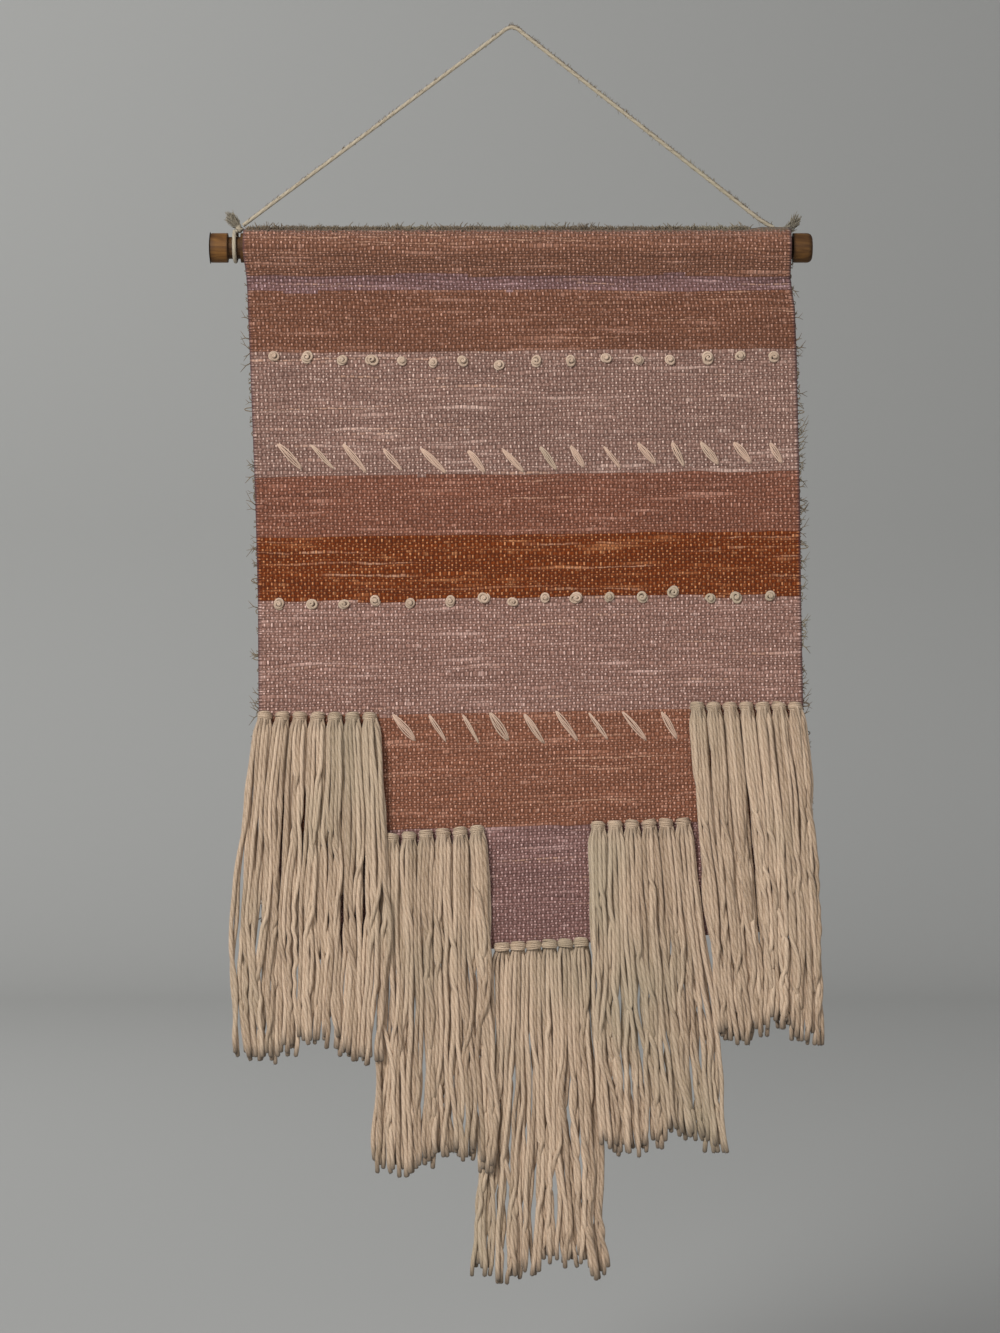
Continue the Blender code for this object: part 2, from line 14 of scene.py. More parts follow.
import bmesh
import bpy
import numpy as np
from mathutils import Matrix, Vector


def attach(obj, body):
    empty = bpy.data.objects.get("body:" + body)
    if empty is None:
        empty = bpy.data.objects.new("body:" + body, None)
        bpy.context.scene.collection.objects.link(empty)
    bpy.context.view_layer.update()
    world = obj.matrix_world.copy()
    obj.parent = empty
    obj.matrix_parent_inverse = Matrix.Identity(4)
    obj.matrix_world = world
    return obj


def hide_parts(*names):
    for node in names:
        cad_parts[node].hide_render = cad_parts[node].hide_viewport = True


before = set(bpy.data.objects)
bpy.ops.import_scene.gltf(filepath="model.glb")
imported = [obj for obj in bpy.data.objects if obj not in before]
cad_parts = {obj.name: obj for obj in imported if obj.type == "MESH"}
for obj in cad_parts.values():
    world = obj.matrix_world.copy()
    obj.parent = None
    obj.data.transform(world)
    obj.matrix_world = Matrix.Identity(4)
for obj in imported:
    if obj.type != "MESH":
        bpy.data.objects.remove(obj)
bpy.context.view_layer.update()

LOG = logging.getLogger("hanging")
MM = 0.001
ROOT = "root"

# Names of the maps and attributes that the materials read
WEAVE_MAP = "weave"
YARN_MAP = "yarn"
TONE = "tone"
TIP = "tip"

Colour = tuple[float, float, float]
Path = np.ndarray


# Small sums that several pieces share


def ease(value: float, start: float, end: float) -> float:
    """Rise softly from 0 at the start to 1 at the end."""
    t = min(max((value - start) / (end - start), 0.0), 1.0)
    return t * t * (3.0 - 2.0 * t)


def mix(first: float, second: float, share: float) -> float:
    """Blend two values."""
    return first + (second - first) * share


def shade(red: int, green: int, blue: int) -> Colour:
    """Turn a colour as seen on a screen, from 0 to 255, into the linear one that a shader takes."""
    scaled = (channel / 255 for channel in (red, green, blue))
    return tuple(c / 12.92 if c <= 0.04045 else ((c + 0.055) / 1.055) ** 2.4 for c in scaled)


def smooth_route(route: Sequence[Sequence[float]], spacing: float) -> Path:
    """Lay points at an even spacing on a smooth curve through a route's own points.

    Args:
        route: The points that the curve passes through.
        spacing: The wanted distance between two points.

    Returns:
        The points, one a row.
    """
    places = np.array(route, float)
    padded = np.vstack([places[:1], places, places[-1:]])
    t = np.linspace(0.0, 1.0, 16, endpoint=False)[:, None]
    fine = []
    for before, start, end, after in zip(padded, padded[1:], padded[2:], padded[3:]):
        slope = end - before
        bend = 2 * before - 5 * start + 4 * end - after
        turn = 3 * start - before - 3 * end + after
        fine.append(0.5 * (2 * start + slope * t + bend * t**2 + turn * t**3))
    fine.append(places[-1:])
    line = np.vstack(fine)
    lengths = np.concatenate([[0.0], np.cumsum(np.linalg.norm(np.diff(line, axis=0), axis=1))])
    wanted = np.linspace(0.0, lengths[-1], round(lengths[-1] / spacing) + 1)
    return np.column_stack([np.interp(wanted, lengths, line[:, axis]) for axis in range(3)])


# Materials: expressions that grow nodes


@dataclass(frozen=True)
class Wire:
    """A value on its way through a material. Python's operators lead it through Math nodes."""

    graph: "Graph"
    socket: bpy.types.NodeSocket

    def __add__(self, other: "Wire | float") -> "Wire":
        """Add."""
        return self.graph.math("ADD", self, other)

    def __sub__(self, other: "Wire | float") -> "Wire":
        """Subtract."""
        return self.graph.math("SUBTRACT", self, other)

    def __rsub__(self, other: float) -> "Wire":
        """Subtract from a number."""
        return self.graph.math("SUBTRACT", other, self)

    def __mul__(self, other: "Wire | float") -> "Wire":
        """Multiply."""
        return self.graph.math("MULTIPLY", self, other)

    def __truediv__(self, other: "Wire | float") -> "Wire":
        """Divide."""
        return self.graph.math("DIVIDE", self, other)

    __radd__ = __add__
    __rmul__ = __mul__

    def floor(self) -> "Wire":
        """Keep the whole part."""
        return self.graph.math("FLOOR", self)

    def fract(self) -> "Wire":
        """Keep what is behind the point."""
        return self.graph.math("FRACT", self)

    def modulo(self, base: float) -> "Wire":
        """Keep the rest of a division."""
        return self.graph.math("MODULO", self, base)

    def at_most(self, limit: "Wire | float") -> "Wire":
        """Hold below a limit."""
        return self.graph.math("MINIMUM", self, limit)

    def at_least(self, limit: "Wire | float") -> "Wire":
        """Hold above a limit."""
        return self.graph.math("MAXIMUM", self, limit)

    def hump(self, narrow: float) -> "Wire":
        """Stand at 1 where the value is 0 and fall to 0 on either side, sooner the narrower it is."""
        return (1.0 - self * self * narrow).at_least(0.0)

    def rise(self, start: float, end: float) -> "Wire":
        """Rise softly from 0 at the start to 1 at the end.

        Args:
            start: The value up to which it stays 0.
            end: The value from which it stays 1.

        Returns:
            How far it has risen.
        """
        inputs = {"Value": self, "From Min": start, "From Max": end}
        settings = {"interpolation_type": "SMOOTHSTEP"}
        return self.graph.wire(self.graph.node("ShaderNodeMapRange", settings, inputs), "Result")


class Graph:
    """One material's nodes."""

    def __init__(self, name: str) -> None:
        """Start a material.

        Args:
            name: The material's name.
        """
        self.material = bpy.data.materials.new(name)
        self.material.use_nodes = True
        self.tree = self.material.node_tree
        self.surface = self.tree.nodes["Principled BSDF"]

    def node(
        self, kind: str, settings: Mapping[str, object] | None = None, inputs: Mapping | None = None
    ) -> bpy.types.Node:
        """Add a node.

        Args:
            kind: The node's type.
            settings: Its own settings, or the stops of a ramp under the name stops.
            inputs: The values or wires of its sockets, by name or number.

        Returns:
            The node.
        """
        made = self.tree.nodes.new(kind)
        for key, value in (settings or {}).items():
            if key == "stops":
                self._set_stops(made.color_ramp, value)
            else:
                setattr(made, key, value)
        for key, value in (inputs or {}).items():
            self.feed(made.inputs[key], value)
        return made

    def feed(self, socket: bpy.types.NodeSocket, value: "Wire | float | Sequence[float]") -> None:
        """Lead a wire or a fixed value into a socket.

        Args:
            socket: The socket.
            value: What it is fed.
        """
        if isinstance(value, Wire):
            self.tree.links.new(value.socket, socket)
        else:
            socket.default_value = value

    def wire(self, node: bpy.types.Node, output: str | int) -> Wire:
        """Take a node's output."""
        return Wire(self, node.outputs[output])

    def math(self, operation: str, *values: "Wire | float") -> Wire:
        """Add a Math node.

        Args:
            operation: What the node does.
            values: Its inputs in order.

        Returns:
            Its result.
        """
        return self.wire(
            self.node("ShaderNodeMath", {"operation": operation}, dict(enumerate(values))), 0
        )

    def blend(self, first: "Wire | Colour", second: "Wire | Colour", share: "Wire | float") -> Wire:
        """Blend two colours.

        Args:
            first: The colour at share 0.
            second: The colour at share 1.
            share: How much of the second shows.

        Returns:
            The blended colour.
        """
        ends = [c if isinstance(c, Wire) else (*c, 1.0) for c in (first, second)]
        mixer = self.node("ShaderNodeMix", {"data_type": "RGBA"}, {0: share, 6: ends[0], 7: ends[1]})
        return self.wire(mixer, 2)

    def tint(self, colour: "Wire | Colour", strength: "Wire | float") -> Wire:
        """Darken or lighten a colour by a factor.

        Args:
            colour: The colour.
            strength: The factor.

        Returns:
            The tinted colour.
        """
        start = colour if isinstance(colour, Wire) else tuple(colour)
        scaled = self.node("ShaderNodeVectorMath", {"operation": "SCALE"}, {0: start, "Scale": strength})
        return self.wire(scaled, 0)

    def vector(self, x: "Wire | float", y: "Wire | float", z: "Wire | float" = 0.0) -> Wire:
        """Join three numbers into a vector."""
        return self.wire(self.node("ShaderNodeCombineXYZ", None, {0: x, 1: y, 2: z}), 0)

    def split(self, vector: Wire) -> tuple[Wire, Wire, Wire]:
        """Part a vector into its three numbers."""
        parts = self.node("ShaderNodeSeparateXYZ", None, {0: vector})
        return self.wire(parts, 0), self.wire(parts, 1), self.wire(parts, 2)

    def noise(self, place: Wire, scale: float, detail: float = 2.0) -> Wire:
        """Add soft noise from 0 to 1 at a place."""
        inputs = {"Vector": place, "Scale": scale, "Detail": detail}
        return self.wire(self.node("ShaderNodeTexNoise", None, inputs), 0)

    def speckle(self, place: Wire) -> Wire:
        """Add a random number from 0 to 1 for each whole place."""
        return self.wire(self.node("ShaderNodeTexWhiteNoise", {"noise_dimensions": "2D"}, {0: place}), 0)

    def map(self, name: str) -> tuple[Wire, Wire, Wire]:
        """Read a piece's own map."""
        return self.split(self.wire(self.node("ShaderNodeUVMap", {"uv_map": name}), 0))

    def attribute(self, name: str) -> Wire:
        """Read a piece's own attribute."""
        return self.wire(self.node("ShaderNodeAttribute", {"attribute_name": name}), "Fac")

    def place(self) -> tuple[Wire, Wire, Wire]:
        """Read where on the object a point lies."""
        return self.split(self.wire(self.node("ShaderNodeTexCoord"), "Object"))

    def bump(self, height: Wire, distance: float, strength: float) -> None:
        """Raise the surface by a height from 0 to 1.

        Args:
            height: The height.
            distance: How far a height of 1 stands out, in metres.
            strength: How much of it shows.
        """
        inputs = {"Height": height, "Distance": distance, "Strength": strength}
        self.feed(self.surface.inputs["Normal"], self.wire(self.node("ShaderNodeBump", None, inputs), 0))

    def set(self, **values: "Wire | float | Sequence[float]") -> None:
        """Feed the surface's own sockets, an underline standing for a space in a name."""
        for name, value in values.items():
            self.feed(self.surface.inputs[name.replace("_", " ")], value)

    @staticmethod
    def _set_stops(ramp: bpy.types.ColorRamp, stops: Sequence[tuple[float, Colour]]) -> None:
        """Give a ramp its stops, each colour held until the next stop.

        Args:
            ramp: The ramp.
            stops: The place and colour of each stop.
        """
        ramp.interpolation = "CONSTANT"
        while len(ramp.elements) < len(stops):
            ramp.elements.new(1.0)
        for element, (position, colour) in zip(ramp.elements, stops):
            element.position = position
            element.color = (*colour, 1.0)


@dataclass(frozen=True)
class Band:
    """One stripe of the weave, from a drop below the rod's axis down to the next one's."""

    drop: float
    weft: Colour
    warp: Colour


class Crossing(NamedTuple):
    """How a point lies in the weave.

    The row counts the weft yarns, the middle says how far the point is from the middle of its weft
    yarn, the chance is the same all over one crossing, and the dot and the rib say how far the warp
    and the weft stand out there.
    """

    row: Wire
    middle: Wire
    chance: Wire
    dot: Wire
    rib: Wire


@dataclass(frozen=True)
class WeaveFinish:
    """Plain weave of variegated weft over pale warp, in stripes.

    The map counts yarns: columns of warp across, and rows of weft down from the rod's axis. The
    shift is added to both counts, so that none is below zero.
    """

    bands: tuple[Band, ...]
    weft_pitch: float
    longest_drop: float
    columns: float
    crown: float
    shift: float = 400.0
    # The nap colour stands for the nap and the painted shade on the top of the fold.
    nap: Colour = shade(96, 82, 62)
    # The rim colour is a painted shadow along the selvages.
    rim: Colour = shade(72, 46, 52)
    cream: Colour = shade(206, 162, 134)
    shadow: Colour = shade(50, 26, 16)

    def make(self) -> bpy.types.Material:
        """Make the material.

        Returns:
            The material.
        """
        g = Graph("rose_weave")
        across, along, _ = g.map(WEAVE_MAP)
        spot = self._crossing(g, across, along)
        weft, warp = self._stripes(g, across, along, spot.row)
        weft = self._streaks(g, weft, warp, across, spot)
        patch = g.noise(g.vector(across * 0.09, along * 0.07), 1.0)
        warp = g.tint(warp, 0.75 + spot.chance * 0.38 + (patch - 0.5) * 0.5)
        colour = g.blend(weft, warp, spot.dot.rise(0.12, 0.70) * (0.50 + spot.chance * 0.34))
        # Painted shade: the weave darkens towards the shadow colour where it sinks between raised yarns.
        painted_gap_shade = 1.0 - (spot.dot + spot.rib).rise(0.0, 0.6)
        colour = g.blend(colour, self.shadow, painted_gap_shade * 0.55)
        colour = self._paint_shade_nap_and_grit(g, colour, across, along)
        fibre = g.noise(g.vector(across * 9.0, along * 9.0), 1.0)
        g.set(Base_Color=colour, Roughness=0.95, Sheen_Weight=0.12, Specular_IOR_Level=0.2)
        g.bump(spot.dot + spot.rib * 0.75 + fibre * 0.3, 0.8 * MM, 0.85)
        return g.material

    def _crossing(self, g: Graph, across: Wire, along: Wire) -> Crossing:
        """Work out how the yarns cross, on lines that wander a little.

        Args:
            g: The material's nodes.
            across: The count of warp yarns.
            along: The count of weft yarns.

        Returns:
            How a point lies in the weave.
        """
        wander = g.noise(g.vector(across * 0.16, along * 0.05), 1.0) - 0.5
        dip = g.noise(g.vector(across * 0.045, along * 0.3), 1.0) - 0.5
        u = across + wander * 0.9 + self.shift
        v = along + dip * 2.6 + self.shift
        column, row = u.floor(), v.floor()
        over = (column + row).modulo(2.0)
        chance = g.speckle(g.vector(column, row))
        other = g.speckle(g.vector(column * 3.0 + 7.0, row + 11.0))
        mid_u = u.fract() - 0.5 + (other - 0.5) * 0.35
        mid_v = v.fract() - 0.5 + (chance - 0.5) * 0.30
        floats = g.noise(g.vector(column * 3.7, along * 0.06), 1.0).rise(0.60, 0.72)
        shown = over.at_least(floats * 0.6) * (0.60 + other.rise(0.0, 0.4) * 0.40)
        line = mid_u.hump(16.0) * 0.28
        dash = mid_v.hump(7.0) * (0.2 + chance * 0.45)
        at_edge = 0.8 - across.at_most(self.columns - across).rise(0.6, 1.7) * 0.8
        dot = (mid_u.hump(12.0) * mid_v.hump(4.6) * shown).at_least(line) * (1.0 - at_edge) + dash * at_edge
        rib = mid_v.hump(4.4) * (1.0 - mid_u * mid_u * 1.2) * (1.0 - shown)
        return Crossing(row, mid_v, chance, dot, rib)

    def _stripes(self, g: Graph, across: Wire, along: Wire, row: Wire) -> tuple[Wire, Wire]:
        """Give the stripes' colours of weft and warp, the stripes' edges waving a little.

        Args:
            g: The material's nodes.
            across: The count of warp yarns.
            along: The count of weft yarns.
            row: The weft yarn's whole number.

        Returns:
            The weft's colour and the warp's.
        """
        wave = g.noise(g.vector(across * 0.035, along * 0.01), 1.0) - 0.5
        position = (row - (self.shift - 0.8) + wave * 3.0) * self.weft_pitch / self.longest_drop
        colours = []
        for kind in ("weft", "warp"):
            stops = [(band.drop / self.longest_drop, getattr(band, kind)) for band in self.bands]
            ramp = g.node("ShaderNodeValToRGB", {"stops": stops}, {"Fac": position})
            colours.append(g.wire(ramp, "Color"))
        return colours[0], colours[1]

    def _streaks(self, g: Graph, weft: Wire, warp: Wire, across: Wire, spot: Crossing) -> Wire:
        """Streak the weft along its yarns, with flecks and a few cream threads.

        Args:
            g: The material's nodes.
            weft: The weft's plain colour.
            warp: The warp's colour, which the streaks lean to.
            across: The count of warp yarns.
            spot: How a point lies in the weave.

        Returns:
            The weft's colour.
        """
        streak = g.noise(g.vector(across * 0.05, spot.row * 5.3), 1.0)
        fleck = g.noise(g.vector(across * 0.4, spot.row * 2.9), 1.0)
        thread = g.noise(g.vector(across * 0.020, spot.row * 7.7), 1.0)
        weft = g.tint(weft, 0.52 + streak * 1.0)
        weft = g.blend(weft, warp, streak.rise(0.56, 0.78) * 0.5 + fleck.rise(0.60, 0.76) * 0.45)
        cream = thread.rise(0.60, 0.70) * spot.middle.hump(9.0) * fleck.rise(0.30, 0.60)
        return g.blend(weft, self.cream, cream * 0.65)

    def _paint_shade_nap_and_grit(self, g: Graph, colour: Wire, across: Wire, along: Wire) -> Wire:
        """Paint shade with nap on the top of the fold and a painted shadow along the selvages, and give all
        of it some grit.

        Args:
            g: The material's nodes.
            colour: The weave's colour.
            across: The count of warp yarns.
            along: The count of weft yarns.

        Returns:
            The worn colour.
        """
        # Painted shade with nap: a ragged band over the top of the fold darkens towards the nap colour.
        fuzz = g.noise(g.vector(across * 0.8, along * 0.5), 1.0, 3.0)
        ragged = along + fuzz * 5.0 - 2.5
        crown = ragged.rise(self.crown - 9.0, self.crown - 5.0)
        crown = crown * (1.0 - ragged.rise(self.crown + 3.8, self.crown + 5.6))
        colour = g.blend(colour, self.nap, crown * 0.8)
        # Painted shadow: a dark line along each selvage.
        at_rim = 1.0 - across.at_most(self.columns - across).rise(0.1, 0.8)
        colour = g.blend(colour, self.rim, at_rim * 0.6)
        grit = g.noise(g.vector(across * 2.3, along * 1.9), 1.0, 3.0)
        return g.tint(colour, 0.45 + grit * 1.1)


@dataclass(frozen=True)
class YarnFinish:
    """Soft spun yarn: its plies with painted light and shade along them, its fibres, and how it greys
    towards a cut end and, on the fringe strands, darkens with painted shade just under the knot.
    """

    name: str
    light: Colour
    dark: Colour
    end: Colour
    plies: int
    twist: float
    relief: float
    roughness: float = 0.92
    cool_patch: Colour = shade(152, 145, 121)

    def make(self) -> bpy.types.Material:
        """Make the material.

        Returns:
            The material.
        """
        g = Graph(self.name)
        around, along, _ = g.map(YARN_MAP)
        tone = g.attribute(TONE)
        phase = (around * self.plies + along / self.twist).fract() - 0.5
        # Painted light and shade along the plies: each ply is lighter on its ridge and darker where it meets
        # the next, and a single ply is lighter on one side. The same term raises the bump.
        ply_ridge_shade = 1.0 - phase * phase * 4.0
        patch = g.noise(g.vector(along * 45.0, tone * 60.0), 1.0)
        fibre = g.noise(g.vector(around * 14.0 + along * 180.0, along * 900.0, tone * 40.0), 1.0)
        share = tone * 0.34 + patch * 0.40 + fibre * 0.55 + ply_ridge_shade * 0.24 - 0.26
        colour = g.blend(self.dark, self.light, share)
        x, _, z = g.place()
        # Cloudy patches, placed by position on the object, lean towards a cool grey-green.
        cloudy = g.noise(g.vector(x * 9.0, z * 6.0), 1.0)
        colour = g.blend(colour, self.cool_patch, cloudy.rise(0.46, 0.68) * 0.42)
        # The tip mark greys a cut end and, on the fringe strands, paints shade just under the knot.
        colour = g.blend(colour, self.end, g.attribute(TIP))
        g.set(Base_Color=colour, Roughness=self.roughness, Sheen_Weight=0.2, Specular_IOR_Level=0.25)
        g.bump(ply_ridge_shade * 0.8 + fibre * 0.45, self.relief, 0.7)
        return g.material


@dataclass(frozen=True)
class WoodFinish:
    """Oiled dowel: grain along its length, darker rings round its ends, painted shade in and beside its
    grooves, and painted shade towards its right end.
    """

    light: Colour = shade(130, 90, 44)
    dark: Colour = shade(76, 46, 18)
    pore: Colour = shade(52, 30, 16)
    # The edge colour darkens the rims of the ends and is the painted shade in and beside the grooves.
    edge: Colour = shade(38, 24, 15)

    def make(self) -> bpy.types.Material:
        """Make the material.

        Returns:
            The material.
        """
        g = Graph("oiled_dowel")
        x, y, z = g.place()
        warp = g.noise(g.vector(x * 14.0, y * 60.0, z * 60.0), 1.0) - 0.5
        slant = x * 50.0 + warp * 5.0
        grain = g.noise(g.vector(x * 9.0, y * 420.0 + slant, z * 420.0 + slant), 1.0, 4.0)
        pores = g.noise(g.vector(x * 60.0, y * 2400.0, z * 2400.0), 1.0)
        cloudy = g.noise(g.vector(x * 55.0, y * 90.0, z * 90.0), 1.0)
        colour = g.blend(self.dark, self.light, grain.rise(0.30, 0.70) * 0.7 + cloudy * 0.45 - 0.05)
        colour = g.blend(colour, self.pore, pores.rise(0.58, 0.74) * 0.5)
        # Painted shade: the wood darkens towards the right end.
        colour = g.tint(colour, 1.0 - x.rise(0.0, 0.2) * 0.40)
        # The tip mark darkens the rims of the ends and paints shade in and beside the grooves.
        colour = g.blend(colour, self.edge, g.attribute(TIP) * 0.75)
        g.set(Base_Color=colour, Roughness=0.50 + pores * 0.25, Specular_IOR_Level=0.22)
        g.bump(grain * 0.4 + pores * 0.6, 0.25 * MM, 0.5)
        return g.material


@dataclass(frozen=True)
class PaintFinish:
    """Matt paint of the studio's floor and backdrop."""

    colour: Colour = shade(176, 176, 173)

    def make(self) -> bpy.types.Material:
        """Make the material.

        Returns:
            The material.
        """
        g = Graph("pale_paint")
        x, y, z = g.place()
        cloudy = g.noise(g.vector(x, y, z), 0.6)
        g.set(Base_Color=g.tint(self.colour, 0.98 + cloudy * 0.04), Roughness=0.9)
        return g.material


# Yarn meshes


def turned_frames(path: Path) -> tuple[np.ndarray, np.ndarray]:
    """Carry a frame along a path without twisting it.

    Args:
        path: The points of the path.

    Returns:
        The frame's two directions across the path at each point.
    """
    run = np.gradient(path, axis=0)
    run /= np.linalg.norm(run, axis=1)[:, None] + 1e-12
    start = np.eye(3)[np.argmin(np.abs(run[0]))]
    normals = np.empty_like(path)
    for index, direction in enumerate(run):
        start = start - direction * (start @ direction)
        start = start / (sqrt(start @ start) + 1e-12)
        normals[index] = start
    return normals, np.cross(run, normals)


class YarnMesh:
    """Runs of yarn, gathered into one mesh."""

    def __init__(self) -> None:
        """Start with no runs."""
        self.points: list[np.ndarray] = []
        self.faces: list[list[int]] = []
        self.maps: list[np.ndarray] = []
        self.tones: list[np.ndarray] = []
        self.tips: list[np.ndarray] = []
        self.count = 0

    def add(
        self,
        path: Path,
        radius: float | np.ndarray,
        sides: int,
        tone: float = 0.5,
        tips: np.ndarray | float = 0.0,
        lobes: int = 0,
        twist: float = 1.0,
    ) -> None:
        """Add one run of yarn as a closed tube.

        Args:
            path: The points along its middle.
            radius: Its radius, or one for each point.
            sides: How many sides it has.
            tone: How light it is, from 0 to 1.
            tips: How near its cut end it is, from 0 to 1, all along or for each point. On a fringe strand it
                also holds painted shade under the knot.
            lobes: How many plies show as lobes, or 0 for a plain round yarn.
            twist: The length in which the plies turn once.
        """
        steps = len(path)
        radii = np.broadcast_to(np.asarray(radius, float), (steps,))
        first, second = turned_frames(path)
        along = np.concatenate([[0.0], np.cumsum(np.linalg.norm(np.diff(path, axis=0), axis=1))])
        angles = tau * np.arange(sides) / sides
        reach = np.ones((steps, sides))
        if lobes:
            phase = angles[None, :] * lobes + tau * along[:, None] * lobes / twist
            reach = 0.90 + 0.13 * np.abs(np.cos(phase / 2))
        size = (radii[:, None] * reach)[:, :, None]
        ring = np.cos(angles)[None, :, None] * first[:, None, :] * size
        ring = ring + np.sin(angles)[None, :, None] * second[:, None, :] * size
        self.points.append((path[:, None, :] + ring).reshape(-1, 3))
        base = self.count
        index = base + np.arange(steps * sides).reshape(steps, sides)
        following = np.roll(index, -1, axis=1)
        quads = np.stack([index[:-1], following[:-1], following[1:], index[1:]], axis=-1)
        self.faces.extend(quads.reshape(-1, 4).tolist())
        low, high = np.arange(sides) / sides, (np.arange(sides) + 1) / sides
        around = np.stack([low, high, high, low], axis=-1)
        lengths = np.stack([along[:-1], along[:-1], along[1:], along[1:]], axis=-1)
        grid = np.empty((steps - 1, sides, 4, 2))
        grid[..., 0] = around[None]
        grid[..., 1] = lengths[:, None]
        self.maps.append(grid.reshape(-1, 2))
        self.faces.append(index[0][::-1].tolist())
        self.faces.append(index[-1].tolist())
        for end in (along[0], along[-1]):
            self.maps.append(np.column_stack([low, np.full(sides, end)]))
        self.tones.append(np.full(steps * sides, tone))
        self.tips.append(np.repeat(np.broadcast_to(np.asarray(tips, float), (steps,)), sides))
        self.count += steps * sides

    def build(self, name: str, material: bpy.types.Material) -> bpy.types.Object:
        """Make the mesh's object.

        Args:
            name: The piece's name.
            material: Its finish.

        Returns:
            The piece.
        """
        mesh = bpy.data.meshes.new(name)
        mesh.from_pydata(np.vstack(self.points).tolist(), [], self.faces)
        mesh.uv_layers.new(name=YARN_MAP).data.foreach_set("uv", np.vstack(self.maps).ravel())
        for key, values in ((TONE, self.tones), (TIP, self.tips)):
            attribute = mesh.attributes.new(key, "FLOAT", "POINT")
            attribute.data.foreach_set("value", np.concatenate(values).astype(np.float32))
        mesh.shade_smooth()
        mesh.materials.append(material)
        piece = bpy.data.objects.new(name, mesh)
        bpy.context.collection.objects.link(piece)
        return piece


def settle_piece(piece: bpy.types.Object, slot: str, *nodes: str) -> bpy.types.Object:
    """Let a finished piece ride on the model in place of its nodes.

    Args:
        piece: The piece.
        slot: The record's material slot; it is not used.
        nodes: The model's nodes that it stands for.

    Returns:
        The piece.
    """
    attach(piece, ROOT)
    if nodes:
        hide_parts(*nodes)
    return piece


# The hung form that the sheet, its sewing and its fringes share


class Selvage(NamedTuple):
    """Where the sheet's two edges run at a drop below the rod's axis, in millimetres."""

    drop: float
    left: float
    right: float


